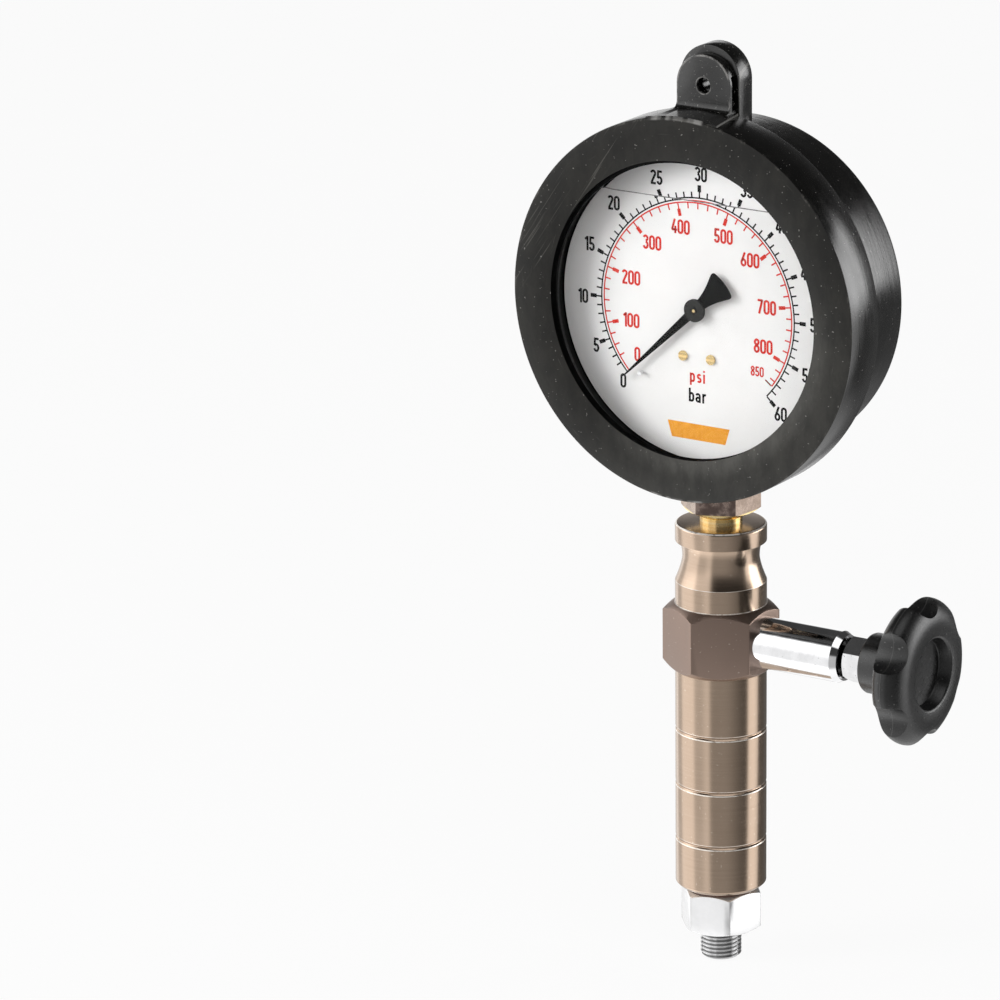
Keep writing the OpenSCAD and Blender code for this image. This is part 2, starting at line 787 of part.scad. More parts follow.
module dial_plate() {
    color("white")
        at_gauge()
            difference() {
                rod(case_in_r - dial_gap, dial_back, dial_front);
                rod(arbor_r + 1, dial_back - cut, dial_front + cut);
                for (p = dial_screw_pos())
                    translate(p)
                        rod(dial_screw_r + 0.1, dial_back - cut, dial_front + cut);
                translate(stop_pos)
                    rod(stop_pin_d / 2, dial_back - cut, dial_front + cut);
            }
}

module dial_screws() {
    head_t = 0.9;
    slot_w = 0.5;
    color("gold")
        at_gauge()
            for (p = dial_screw_pos())
                translate(p)
                    difference() {
                        union() {
                            rod(dial_screw_head_d / 2, dial_front, dial_front + head_t);
                            rod(dial_screw_r, plate_front_back + 0.1, dial_front);
                        }
                        translate([-dial_screw_head_d, -slot_w / 2, dial_front + head_t / 2])
                            cube([2 * dial_screw_head_d, slot_w, head_t]);
                    }
}

module stop_pin() {
    color("gold")
        at_gauge()
            translate(stop_pos)
                rod(stop_pin_d / 2, dial_back, pointer_back + pointer_hub_t);
}

// The tail opens from the hub to a fan with an arched end and softened corners
function fan_tail() = concat(
    [[0, -tail_root_half], [-pointer_hub_d / 2, -tail_root_half]],
    [for (i = [-5:5])
        let (a = tail_half_angle * i / 5, r = tail_len - (abs(i) == 5 ? 1.1 : abs(i) == 4 ? 0.25 : 0))
            [-r * cos(a), r * sin(a)]],
    [[-pointer_hub_d / 2, tail_root_half], [0, tail_root_half]]);
tail_root_half = 1.3;

module pointer() {
    root_half = 1.1;
    tip_half = 0.22;
    color([0.08, 0.08, 0.08])
        at_gauge()
            rotate(zero_angle - pointer_rest)
                difference() {
                    union() {
                        translate([0, 0, blade_back])
                            linear_extrude(pointer_t) {
                                polygon([[0, -root_half], [pointer_len - 1, -tip_half], [pointer_len, 0],
                                    [pointer_len - 1, tip_half], [0, root_half]]);
                                polygon(fan_tail());
                            }
                        rod(pointer_hub_d / 2, pointer_back, pointer_back + pointer_hub_t);
                    }
                    rod(arbor_r, pointer_back - cut, pointer_back + pointer_hub_t + cut);
                }
}

// Four corners of a straight-sided tooth whose middle is at the angle mid
function tooth(radius, pitch_angle, mid) = [
    for (c = [[-0.30, -tooth_ded], [-0.20, 0], [-0.09, tooth_add], [0.09, tooth_add], [0.20, 0], [0.30, -tooth_ded]])
        (radius + c[1]) * [cos(mid + c[0] * pitch_angle), sin(mid + c[0] * pitch_angle)]];

pinion_pitch = 360 / pinion_teeth;
sector_pitch = 360 / sector_teeth;

// The arbor carries the pinion's teeth, the hairspring's collet and the pointer
module pinion_arbor() {
    color("goldenrod")
        at_gauge() {
            rod(arbor_r, tongue_front + 0.1, pointer_back + pointer_hub_t + 0.3);
            translate([0, 0, sector_back - 1])
                linear_extrude(sector_t + 1.8)
                    polygon([for (i = [0:pinion_teeth - 1])
                        each tooth(pinion_r, pinion_pitch, -90 + pinion_pitch * (i + 0.5))]);
            rod(collet_r, hairspring_back, hairspring_back + hairspring_w);
        }
}

// A flat spiral from the collet to the stud on the front plate
function spiral_edge(offset) = [for (i = [0:18 * hairspring_turns])
    let (a = 360 * i / 18, r = hairspring_in_r + offset + hairspring_pitch * a / 360)
        r * [cos(a), sin(a)]];

module hairspring() {
    strip_t = 0.25;
    color("peru")
        at_gauge()
            translate([0, 0, hairspring_back])
                linear_extrude(hairspring_w)
                    polygon(concat(spiral_edge(strip_t), [for (i = [18 * hairspring_turns:-1:0])
                        spiral_edge(0)[i]]));
}

// The toothed sector with its arbor, tail and link pin in one riveted piece
module sector_gear() {
    first_tooth = 90 + 2 * sector_pitch;
    last_tooth = first_tooth - (sector_cut_teeth - 1) * sector_pitch;
    hub_r = 3;
    color("goldenrod")
        at_gauge() {
            translate(sector_pos) {
                rod(arbor_r, tongue_front + 0.1, plate_front - 0.1);
                translate([0, 0, sector_back])
                    linear_extrude(sector_t) {
                        polygon(concat([hub_r * [cos(first_tooth + 60), sin(first_tooth + 60)]],
                            [for (i = [0:sector_cut_teeth - 1])
                                each [for (p = [5:-1:0]) tooth(sector_r, sector_pitch, first_tooth - i * sector_pitch)[p]]],
                            [hub_r * [cos(last_tooth - 60), sin(last_tooth - 60)]]));
                        circle(r = hub_r);
                        rotate(lever_angle)
                            translate([0, -link_w / 2])
                                square([lever_len, link_w]);
                    }
            }
            translate(lever_pos) {
                rod(link_w / 2, sector_back, lever_front);
                rod(link_pin_d / 2, lever_front, link_back + link_t + 0.2);
            }
        }
}

// A plate drilled for the two arbors, with round ears at its pillars
module movement_plate(from) {
    difference() {
        translate([0, 0, from])
            linear_extrude(plate_t) {
                polygon(pillar_pos);
                for (p = pillar_pos)
                    translate(p)
                        circle(r = pillar_d / 2 + 2);
            }
        for (p = [[0, 0], sector_pos])
            translate(p)
                rod(arbor_r + run_clear, from - cut, from + plate_t + cut);
        for (p = pillar_pos)
            translate(p)
                rod(pillar_end_r, from - cut, from + plate_t + cut);
    }
}

pillar_end_r = pillar_d / 2 - 0.8;

module movement_front_plate() {
    stud_pos = (hairspring_in_r + hairspring_turns * hairspring_pitch + 0.75) * [1, 0];
    color("goldenrod")
        at_gauge() {
            difference() {
                union() {
                    movement_plate(plate_front_back);
                    for (p = dial_screw_pos())
                        translate(p)
                            rod(2.2, plate_front, dial_back);
                }
                for (p = dial_screw_pos())
                    translate(p)
                        rod(dial_screw_r, plate_front_back - cut, dial_back + cut);
            }
            translate(stud_pos)
                rod(0.5, hairspring_back, plate_front_back);
        }
}

module movement_back_plate() {
    tongue_w = plate_screw_pos[1][0] - plate_screw_pos[0][0] + 7;
    tongue_bottom = plate_screw_pos[0][1] - 3.5;
    color("goldenrod")
        at_gauge()
            difference() {
                union() {
                    movement_plate(tongue_front);
                    translate([-tongue_w / 2, tongue_bottom, tongue_front])
                        cube([tongue_w, block_top - tongue_bottom, plate_t]);
                }
                translate(pillar_pos[2])
                    rod(pillar_end_r, tongue_front - cut, back_plate_front + cut);
                for (p = plate_screw_pos)
                    translate(p)
                        rod(plate_screw_r, tongue_front - cut, back_plate_front + cut);
            }
}

module movement_pillars() {
    color("gold")
        at_gauge()
            for (p = pillar_pos)
                translate(p) {
                    rod(pillar_d / 2, back_plate_front, plate_front_back);
                    rod(pillar_end_r, tongue_front, plate_front);
                }
}

module movement_screws() {
    color("gold")
        at_gauge()
            for (p = plate_screw_pos)
                translate(p) {
                    rod(2, back_plate_front, back_plate_front + 1.2);
                    rod(plate_screw_r, tongue_front - plate_screw_len, back_plate_front);
                }
}

// The link from the tube's end to the sector's tail
module link_bar() {
    color("gold")
        at_gauge()
            translate(lever_pos)
                rotate(link_angle)
                    translate([0, 0, link_back])
                        linear_extrude(link_t)
                            difference() {
                                union() {
                                    circle(d = link_w);
                                    translate([link_len, 0])
                                        circle(d = link_w + 0.6);
                                    translate([0, -link_w / 4])
                                        square([link_len, link_w / 2]);
                                }
                                circle(r = link_pin_d / 2 + run_clear);
                                translate([link_len, 0])
                                    circle(r = link_pin_d / 2 + link_play);
                            }
}

// The cap on the tube's free end, with the arm and pin that pull the link
module tube_end_piece() {
    cap_half = tube_t / 2 + 0.8;
    cap_pos = tube_radius * [cos(tube_end_angle - tube_end_step / 2), sin(tube_end_angle - tube_end_step / 2)];
    arm = cap_pos - tip_pin_pos;
    color("goldenrod")
        at_gauge() {
            rotate(tube_end_angle - tube_end_step)
                rotate_extrude(angle = tube_end_step)
                    translate([tube_radius - cap_half, tube_mid - tube_w / 2 - 0.5])
                        square([2 * cap_half, lever_front - tube_mid + tube_w / 2 + 0.5]);
            translate([tip_pin_pos[0], tip_pin_pos[1], sector_back])
                linear_extrude(sector_t) {
                    circle(d = link_w);
                    rotate(atan2(arm[1], arm[0]))
                        translate([0, -link_w / 2])
                            square([norm(arm), link_w]);
                }
            translate(tip_pin_pos)
                rod(link_pin_d / 2, lever_front, link_back + link_t + 0.2);
        }
}

// A flat oval outline, rounded at both ends
module oval(width, height) {
    for (side = [-1, 1])
        translate([0, side * (height - width) / 2])
            circle(d = width, $fn = 32);
    square([width, height - width], center = true);
}

module bourdon_tube() {
    color("goldenrod")
        at_gauge()
            rotate(tube_end_angle)
                rotate_extrude(angle = tube_start_angle - tube_end_angle)
                    translate([tube_radius, tube_mid])
                        difference() {
                            oval(tube_t, tube_w);
                            oval(tube_t - 2 * tube_wall, tube_w - 2 * tube_wall);
                        }
}

// The boot's outside: front rim and the sleeve behind it
function boot_outline() = [
    [0, boot_back], [0, boot_front], [boot_r - boot_edge, boot_front],
    [boot_r, boot_front - boot_edge], [boot_r, boot_step + boot_edge], [boot_r - boot_edge, boot_step],
    [boot_rear_r, boot_step], [boot_rear_r, boot_back + 4 * boot_edge],
    [boot_rear_r - 1.2 * boot_edge, boot_back + 1.2 * boot_edge], [boot_rear_r - 4 * boot_edge, boot_back]];

// The room inside the boot for the bezel ring and the case, open to the dial and to the case's back
module boot_room() {
    rod(bezel_r + boot_clear, bezel_back - boot_clear, bezel_front + boot_clear);
    rod(case_r + boot_clear, -case_back - boot_clear, bezel_back);
    translate([0, boot_rise, 0]) {
        rod(boot_back_opening_r, boot_back - cut, -case_back);
        rotate_extrude()
            polygon([[0, bezel_front], [boot_opening_r, bezel_front], [boot_opening_r, boot_front - boot_edge],
                [boot_opening_r + boot_edge, boot_front], [boot_opening_r + boot_edge, boot_front + cut],
                [0, boot_front + cut]]);
    }
}

// One leaf of the hanging lug: straight sides and a round top about the hole
module lug_leaf(from, to, rise, width) {
    translate([0, 0, from])
        linear_extrude(to - from) {
            translate([0, lug_hole_y + rise])
                circle(d = width);
            translate([-width / 2, lug_root])
                square([width, lug_hole_y + rise - lug_root]);
        }
}

// The low round pad in front of the lug, a little wider at the boot's front
module lug_pad() {
    front = boot_front - boot_edge;
    intersection() {
        translate([0, pad_top, 0])
            rotate([90, 0, 0])
                linear_extrude(pad_rise + 3)
                    polygon([[-lug_w / 2, boot_step], [lug_w / 2, boot_step], [lug_w / 2 + pad_flare, front],
                        [-lug_w / 2 - pad_flare, front]]);
        rod(pad_top, boot_step - cut, boot_front);
    }
}

// Height at which the lug grows out of the boot's wall
lug_root = case_r + boot_clear + 1;

module rubber_boot() {
    slot_top = lug_hole_y + lug_hole_d / 2 + 0.9;
    color([0.16, 0.16, 0.16])
        difference() {
            at_gauge()
                difference() {
                    translate([0, boot_rise, 0])
                        difference() {
                            union() {
                                rotate_extrude()
                                    polygon(boot_outline());
                                lug_leaf(lug_back, lug_rear_front, lug_rear_rise, lug_w);
                                lug_leaf(lug_rear_front - cut, lug_front, 0, lug_w - lug_front_trim);
                                lug_pad();
                            }
                            translate([-lug_w, pad_top, lug_rear_front])
                                cube([2 * lug_w, slot_top - pad_top, lug_slot_w]);
                            translate([0, lug_hole_y, 0])
                                rod(lug_hole_d / 2, lug_back - cut, lug_front + cut);
                        }
                    boot_room();
                }
            rod(stem_hole_r, gauge_z - boot_r - cut, gauge_z - case_r + 2);
        }
}

inlet_fitting();
inlet_seal();
check_poppet();
poppet_o_ring();
check_spring();
tester_body();
bonnet_seal();
valve_bonnet();
needle_tip();
valve_spindle();
spindle_o_ring();
lock_nut();
knob();
knob_insert();
gauge_seal_washer();
gauge_socket();
restrictor_screw();
gauge_case();
fill_plug();
bezel_ring();
window_gasket();
window();
dial_plate();
dial_screws();
stop_pin();
pointer();
pinion_arbor();
hairspring();
sector_gear();
movement_front_plate();
movement_back_plate();
movement_pillars();
movement_screws();
link_bar();
tube_end_piece();
bourdon_tube();
rubber_boot();
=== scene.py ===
import json
import math

import bpy
from mathutils import Matrix, Vector


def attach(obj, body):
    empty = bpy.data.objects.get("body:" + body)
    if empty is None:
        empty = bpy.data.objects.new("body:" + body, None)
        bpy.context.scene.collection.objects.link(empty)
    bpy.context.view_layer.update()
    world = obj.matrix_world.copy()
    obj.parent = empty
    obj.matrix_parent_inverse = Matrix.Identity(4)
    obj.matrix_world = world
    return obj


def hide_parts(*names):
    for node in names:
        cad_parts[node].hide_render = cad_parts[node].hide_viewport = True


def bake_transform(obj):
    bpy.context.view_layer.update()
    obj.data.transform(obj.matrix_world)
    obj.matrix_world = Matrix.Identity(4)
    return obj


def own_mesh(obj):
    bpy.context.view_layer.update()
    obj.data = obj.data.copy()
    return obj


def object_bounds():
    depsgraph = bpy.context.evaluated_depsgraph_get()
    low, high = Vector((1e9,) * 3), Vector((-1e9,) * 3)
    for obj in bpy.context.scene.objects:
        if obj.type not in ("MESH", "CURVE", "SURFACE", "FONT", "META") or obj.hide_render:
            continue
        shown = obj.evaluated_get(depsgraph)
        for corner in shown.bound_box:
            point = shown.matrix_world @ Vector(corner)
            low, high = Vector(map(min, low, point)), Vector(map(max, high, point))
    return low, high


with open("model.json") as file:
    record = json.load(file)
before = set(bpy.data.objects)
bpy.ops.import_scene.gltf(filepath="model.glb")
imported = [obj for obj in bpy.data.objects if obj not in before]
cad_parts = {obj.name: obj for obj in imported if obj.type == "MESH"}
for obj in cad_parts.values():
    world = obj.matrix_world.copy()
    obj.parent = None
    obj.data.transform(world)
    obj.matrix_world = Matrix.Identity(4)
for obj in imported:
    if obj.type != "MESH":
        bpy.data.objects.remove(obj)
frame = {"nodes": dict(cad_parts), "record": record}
cad_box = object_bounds()
bpy.context.scene.view_settings.view_transform = "Standard"

FULL_TURN = 2 * math.pi
MERGE = 0.000001
FACING_FRONT = (math.pi / 2, 0, 0)
FACING_SIDE = (0, math.pi / 2, 0)

# Places on the object, in metres
PIVOT_Z = 0.2072
BOOT_Z = 0.2087
LUG_HOLE_Z = 0.2772
VALVE_Z = 0.09785
WAIST_Z = 0.1162
GROOVES = (0.03085, 0.04910, 0.06735)
BARREL_R = 0.0145
THREAD_R = 0.00658
THREAD_HOLE_R = 0.00662
DIAL_FACE = 0.0105
PRINT_LIFT = 0.00003
LIQUID_LEVEL = 0.0354

# The dial's two scales, in degrees from three o'clock, counted clockwise from zero
ZERO_ANGLE = 226.0
REST_ANGLE = 223.5
BAR_STEP = 4.5
PSI_STEP = 0.31026


# Helpers for modelling

def only(piece):
    bpy.ops.object.select_all(action="DESELECT")
    piece.select_set(True)
    bpy.context.view_layer.objects.active = piece


def named(name):
    piece = bpy.context.object
    piece.name = name
    piece.data.name = name
    return piece


def settle(piece):
    only(piece)
    bpy.ops.object.transform_apply(location=True, rotation=True, scale=True)


def fresh(name, primitive, **options):
    """A new basic shape, settled in its place."""
    primitive(**options)
    piece = named(name)
    settle(piece)
    return piece


def on_mesh(piece, operation, **options):
    """One mesh operation on the whole of a piece."""
    only(piece)
    bpy.ops.object.mode_set(mode="EDIT")
    bpy.ops.mesh.select_all(action="SELECT")
    operation(**options)
    bpy.ops.object.mode_set(mode="OBJECT")


def extruded(piece, way):
    on_mesh(piece, bpy.ops.mesh.extrude_region_move, TRANSFORM_OT_translate={"value": way})


def clean_shell(piece):
    only(piece)
    bpy.ops.object.mode_set(mode="EDIT")
    bpy.ops.mesh.select_all(action="SELECT")
    bpy.ops.mesh.remove_doubles(threshold=MERGE)
    bpy.ops.mesh.dissolve_degenerate(threshold=MERGE)
    bpy.ops.mesh.normals_make_consistent(inside=False)
    bpy.ops.object.mode_set(mode="OBJECT")


def soft_shade(piece, angle):
    only(piece)
    bpy.ops.object.shade_smooth_by_angle(angle=math.radians(angle))


def finished(piece, angle, *skins):
    clean_shell(piece)
    soft_shade(piece, angle)
    for skin in skins:
        piece.data.materials.append(skin)


def carve(piece, tool, operation):
    only(piece)
    cut = piece.modifiers.new("carve", "BOOLEAN")
    cut.object = tool
    cut.operation = operation
    cut.solver = "EXACT"
    bpy.ops.object.modifier_apply(modifier=cut.name)
    bpy.data.objects.remove(tool)


def round_edges(piece, width, segments=2, angle=40):
    only(piece)
    edge = piece.modifiers.new("edge", "BEVEL")
    edge.width = width
    edge.segments = segments
    edge.limit_method = "ANGLE"
    edge.angle_limit = math.radians(angle)
    bpy.ops.object.modifier_apply(modifier=edge.name)


def wound(piece, pitch, turns, steps):
    """The piece's outline wound up about the upright axis."""
    only(piece)
    wind = piece.modifiers.new("wind", "SCREW")
    wind.axis = "Z"
    wind.angle = FULL_TURN
    wind.screw_offset = pitch
    wind.iterations = turns
    wind.steps = steps
    wind.render_steps = steps
    wind.use_merge_vertices = True
    wind.merge_threshold = MERGE
    bpy.ops.object.modifier_apply(modifier=wind.name)


def join_all(name, pieces):
    only(pieces[0])
    for piece in pieces:
        piece.select_set(True)
    if len(pieces) > 1:
        bpy.ops.object.join()
    return named(name)


def softened(outline, width):
    """The same outline with each sharp corner off the axis turned into a small round."""
    soft = []
    for index, (radius, height) in enumerate(outline):
        place = Vector((radius, height))
        before = Vector(outline[index - 1]) - place
        after = Vector(outline[(index + 1) % len(outline)]) - place
        if radius < 0.00001 or before.angle(-after) < math.radians(20):
            soft.append((radius, height))
            continue
        setback = min(width, before.length / 3, after.length / 3)
        first = place + before.normalized() * setback
        last = place + after.normalized() * setback
        for share in (0.0, 0.25, 0.5, 0.75, 1.0):
            point = first.lerp(place, share).lerp(place.lerp(last, share), share)
            soft.append((point.x, point.y))
    return soft


def outlined(name, places, fill="NOTHING"):
    """A ring of corners, each moved to its place."""
    bpy.ops.mesh.primitive_circle_add(vertices=len(places), radius=0.01, fill_type=fill)
    piece = named(name)
    for corner, place in zip(piece.data.vertices, places):
        corner.co = place
    return piece


def turned(name, places, centre, axis, steps):
    """A closed outline spun once round."""
    piece = outlined(name, places)
    on_mesh(piece, bpy.ops.mesh.spin, steps=steps, angle=FULL_TURN, center=centre, axis=axis)
    clean_shell(piece)
    return piece


def turned_about_front(name, outline, centre_z, steps):
    """A closed outline of (radius, depth towards the front) spun about the gauge's front axis."""
    places = [(radius, -front, centre_z) for radius, front in outline]
    return turned(name, places, (0, 0, centre_z), (0, 1, 0), steps)


def turned_upright(name, outline, steps):
    """A closed outline of (radius, height) spun about the tester's upright axis."""
    return turned(name, [(radius, 0, height) for radius, height in outline], (0, 0, 0), (0, 0, 1), steps)


def block(name, middle, size, turn=(0, 0, 0)):
    return fresh(name, bpy.ops.mesh.primitive_cube_add, size=1, location=middle, scale=size, rotation=turn)


def rod_tool(radius, middle, length, turn, vertices=64):
    return fresh("rod_tool", bpy.ops.mesh.primitive_cylinder_add, vertices=vertices, radius=radius, depth=length,
                 location=middle, rotation=turn)


def hex_bar(name, corner_r, middle_z, height, turn, blank, steps):
    """An upright hexagon bar trimmed to a turned blank."""
    bar = fresh(name, bpy.ops.mesh.primitive_cylinder_add, vertices=6, radius=corner_r, depth=height,
                location=(0, 0, middle_z), rotation=(0, 0, math.radians(turn)))
    carve(bar, turned_upright("blank", blank, steps), "INTERSECT")
    return bar


# Helpers for finishes

class Shade:
    """A value in a node tree; what is worked out from it becomes nodes of that tree."""

    def __init__(self, tree, socket):
        self.tree = tree
        self.socket = socket

    def into(self, socket):
        self.tree.links.new(self.socket, socket)

    def node(self, kind, socket, **values):
        """A new node of that kind, fed with this value; other sockets are named with _ for a space."""
        step = self.tree.nodes.new("ShaderNode" + kind)
        self.into(step.inputs[socket])
        for name, value in values.items():
            step.inputs[name.replace("_", " ")].default_value = value
        return step

    def worked(self, operation, *others):
        step = self.tree.nodes.new("ShaderNodeMath")
        step.operation = operation
        for socket, value in zip(step.inputs, (self, *others)):
            if isinstance(value, Shade):
                value.into(socket)
            else:
                socket.default_value = value
        return Shade(self.tree, step.outputs[0])

    def __add__(self, other):
        return self.worked("ADD", other)

    def __sub__(self, other):
        return self.worked("SUBTRACT", other)

    def __mul__(self, other):
        return self.worked("MULTIPLY", other)

    def __truediv__(self, other):
        return self.worked("DIVIDE", other)

    def __abs__(self):
        return self.worked("ABSOLUTE")

    def at_least(self, other):
        return self.worked("MAXIMUM", other)

    def degrees_over(self, other):
        """The angle whose rise is this value and whose run is the other."""
        return self.worked("ARCTAN2", other).worked("DEGREES")

    def ranged(self, low, high, to_low=0.0, to_high=1.0, smooth=True):
        step = self.node("MapRange", "Value", From_Min=low, From_Max=high, To_Min=to_low, To_Max=to_high)
        step.interpolation_type = "SMOOTHSTEP" if smooth else "LINEAR"
        return Shade(self.tree, step.outputs["Result"])

    def band(self, middle, half, soft):
        """One inside middle plus or minus half, fading to nothing over soft."""
        return abs(self - middle).ranged(half, half + soft, 1.0, 0.0)

    def mixed(self, first, second):
        """A colour between two, by this amount."""
        mix = self.node("Mix", 0)
        mix.data_type = "RGBA"
        for socket, colour in ((mix.inputs[6], first), (mix.inputs[7], second)):
            if isinstance(colour, Shade):
                colour.into(socket)
            else:
                socket.default_value = (*colour, 1)
        return Shade(self.tree, mix.outputs[2])

    def tinted(self, dark, pale):
        """A colour between two, by this grain."""
        return self.ranged(0.3, 0.7).mixed(dark, pale)

    def stretched(self, scale):
        return Shade(self.tree, self.node("Mapping", "Vector", Scale=scale).outputs["Vector"])

    def grain(self, scale, detail=2.0, roughness=0.5):
        noise = self.node("TexNoise", "Vector", Scale=scale, Detail=detail, Roughness=roughness)
        return Shade(self.tree, noise.outputs["Fac"])

    def split(self):
        return [Shade(self.tree, part) for part in self.node("SeparateXYZ", 0).outputs]

    def along(self, direction):
        step = self.node("VectorMath", 0)
        step.operation = "DOT_PRODUCT"
        step.inputs[1].default_value = direction
        return Shade(self.tree, step.outputs["Value"])


def packed_up(x, y, z):
    joined = x.tree.nodes.new("ShaderNodeCombineXYZ")
    for socket, value in zip(joined.inputs, (x, y, z)):
        value.into(socket)
    return Shade(x.tree, joined.outputs[0])


def reach(first, second):
    return (first * first + second * second).worked("SQRT")


def light_path(tree, kind):
    return Shade(tree, tree.nodes.new("ShaderNodeLightPath").outputs[kind])


def either_shader(tree, amount, first, second):
    """The second shader by an amount, and the first for the rest."""
    mix = tree.nodes.new("ShaderNodeMixShader")
    amount.into(mix.inputs[0])
    tree.links.new(first.outputs[0], mix.inputs[1])
    tree.links.new(second.outputs[0], mix.inputs[2])
    return mix


def round_front(place, centre_z):
    """Radius and depth about the gauge's front axis."""
    x, y, z = place.split()
    return reach(x, z - centre_z), y


class Finish:
    """A material with its shader and the place on the object that its nodes start from."""

    def __init__(self, name, colour, metallic, roughness, shine=0.5):
        self.material = bpy.data.materials.new(name)
        self.material.use_nodes = True
        self.tree = self.material.node_tree
        self.shader = self.tree.nodes["Principled BSDF"]
        for socket, value in (("Base Color", (*colour, 1)), ("Metallic", metallic), ("Roughness", roughness),
                              ("Specular IOR Level", shine)):
            self.shader.inputs[socket].default_value = value
        self.place = Shade(self.tree, self.tree.nodes.new("ShaderNodeTexCoord").outputs["Object"])

    def feed(self, socket, value):
        value.into(self.shader.inputs[socket])

    def colour(self, value):
        self.feed("Base Color", value)

    def rough(self, grain, smooth, rough):
        self.feed("Roughness", grain.ranged(0.3, 0.7, smooth, rough))

    def raised(self, height, strength, distance):
        bump = height.node("Bump", "Height", Strength=strength, Distance=distance)
        self.tree.links.new(bump.outputs["Normal"], self.shader.inputs["Normal"])


# Finishes

def turned_metal(name, dark, pale, roughness, lines=2400, axis="Z"):
    finish = Finish(name, pale, 1.0, roughness)
    scale = {"X": (lines, 30, 30), "Z": (30, 30, lines)}[axis]
    rings = finish.place.stretched(scale).grain(1.0, 3.0)
    both = rings * 0.6 + finish.place.grain(90.0, 3.0) * 0.4
    finish.colour(both.tinted(dark, pale))
    finish.rough(rings, roughness - 0.05, roughness + 0.05)
    finish.raised(rings, 0.06, 0.0002)
    return finish.material


def barrel_bronze():
    """Brown satin bronze: turned grip, matt hexagon, and pale lines painted along the edges as highlights."""
    finish = Finish("barrel_bronze", (0.38, 0.29, 0.22), 1.0, 0.24)
    place = finish.place
    height = place.split()[2]
    rings = place.stretched((25, 25, 3600)).grain(1.0, 2.0)
    both = rings * 0.5 + place.stretched((1, 1, 0.4)).grain(120.0, 3.0) * 0.5
    hexagon = height.band(VALVE_Z, 0.0107, 0.0004)
    turned_brown = both.tinted((0.405, 0.306, 0.23), (0.445, 0.34, 0.26))
    brown = hexagon.mixed(turned_brown, (0.275, 0.202, 0.166))
    specks = place.grain(1500.0, 0.0).ranged(0.8, 0.84)
    speckled = (specks * 0.4).mixed(brown, (0.75, 0.66, 0.56))
    # Painted highlight: pale lines along the collar edge, the waist and the groove lips, made less metallic where they
    # run
    painted_edge_highlight = height.band(0.13482, 0.00014, 0.00012)
    lips = [(0.10885, 0.00010, 0.7), (WAIST_Z, 0.00006, 0.5)]
    for groove in GROOVES:
        lips += [(groove - 0.00072, 0.00010, 0.9), (groove + 0.00070, 0.00005, 0.5)]
    for level, half, amount in lips:
        painted_edge_highlight = painted_edge_highlight.at_least(height.band(level, half, 0.0001) * amount)
    painted_edge_highlight = painted_edge_highlight * place.grain(420.0, 2.0).ranged(0.3, 0.5, 0.35, 1.0)
    finish.colour(painted_edge_highlight.mixed(speckled, (0.93, 0.88, 0.82)))
    finish.feed("Metallic", painted_edge_highlight.ranged(0.0, 1.0, 1.0, 0.3, False))
    finish.feed("Roughness", hexagon * 0.2 + both.ranged(0.3, 0.7, 0.17, 0.23))
    finish.raised(rings, 0.012, 0.0002)
    return finish.material


def stem_brass():
    """Golden neck below the stem's brown hexagon, one face of it painted darker as shade."""
    finish = Finish("stem_brass", (0.5, 0.38, 0.28), 0.85, 0.24)
    x, y, height = finish.place.split()
    rings = finish.place.stretched((60, 60, 900)).grain(1.0, 3.0)
    cloud = finish.place.grain(300.0, 4.0, 0.6)
    pale = cloud.ranged(0.35, 0.65).mixed((0.33, 0.25, 0.2), (0.48, 0.375, 0.31))
    # Painted shade: one face of the brown hexagon is coloured darker
    painted_dark_face = cloud.ranged(0.42, 0.68).mixed((0.13, 0.092, 0.08), (0.33, 0.25, 0.215))
    brown = y.degrees_over(x).band(-67.6, 29.0, 1.5).mixed(pale, painted_dark_face)
    gold = rings.ranged(0.35, 0.65).mixed((0.92, 0.66, 0.26), (1.0, 0.86, 0.5))
    finish.colour(height.ranged(0.1398, 0.1403).mixed(gold, brown))
    finish.rough(cloud, 0.16, 0.3)
    finish.raised(rings, 0.08, 0.0003)
    return finish.material


def bright_chrome():
    finish = Finish("bright_chrome", (0.86, 0.86, 0.87), 1.0, 0.07)
    cloud = finish.place.grain(300.0, 3.0)
    specks = finish.place.grain(1900.0, 0.0).ranged(0.77, 0.82)
    plate = cloud.ranged(0.35, 0.65).mixed((0.82, 0.82, 0.83), (0.9, 0.9, 0.91))
    finish.colour((specks * 0.6).mixed(plate, (0.35, 0.34, 0.33)))
    finish.rough(cloud, 0.05, 0.11)
    finish.raised(cloud, 0.04, 0.0004)
    return finish.material


def bonnet_chrome():
    """Mirror chrome, with painted shade: near black inside the recess at the bonnet's end."""
    finish = Finish("bonnet_chrome", (0.86, 0.86, 0.87), 1.0, 0.08)
    _, y, z = finish.place.split()
    cloud = finish.place.grain(260.0, 3.0)
    specks = finish.place.grain(1700.0, 0.0).ranged(0.79, 0.83)
    plate = cloud.ranged(0.35, 0.65).mixed((0.82, 0.82, 0.83), (0.9, 0.9, 0.91))
    marked = (specks * 0.5).mixed(plate, (0.3, 0.3, 0.3))
    # Painted shade: the recess inside the bonnet's end is coloured near black
    inside = reach(y, z - VALVE_Z).ranged(0.0063, 0.0066, 1.0, 0.0)
    finish.colour(inside.mixed(marked, (0.012, 0.012, 0.012)))
    finish.rough(cloud, 0.05, 0.12)
    finish.raised(cloud, 0.03, 0.0004)
    return finish.material


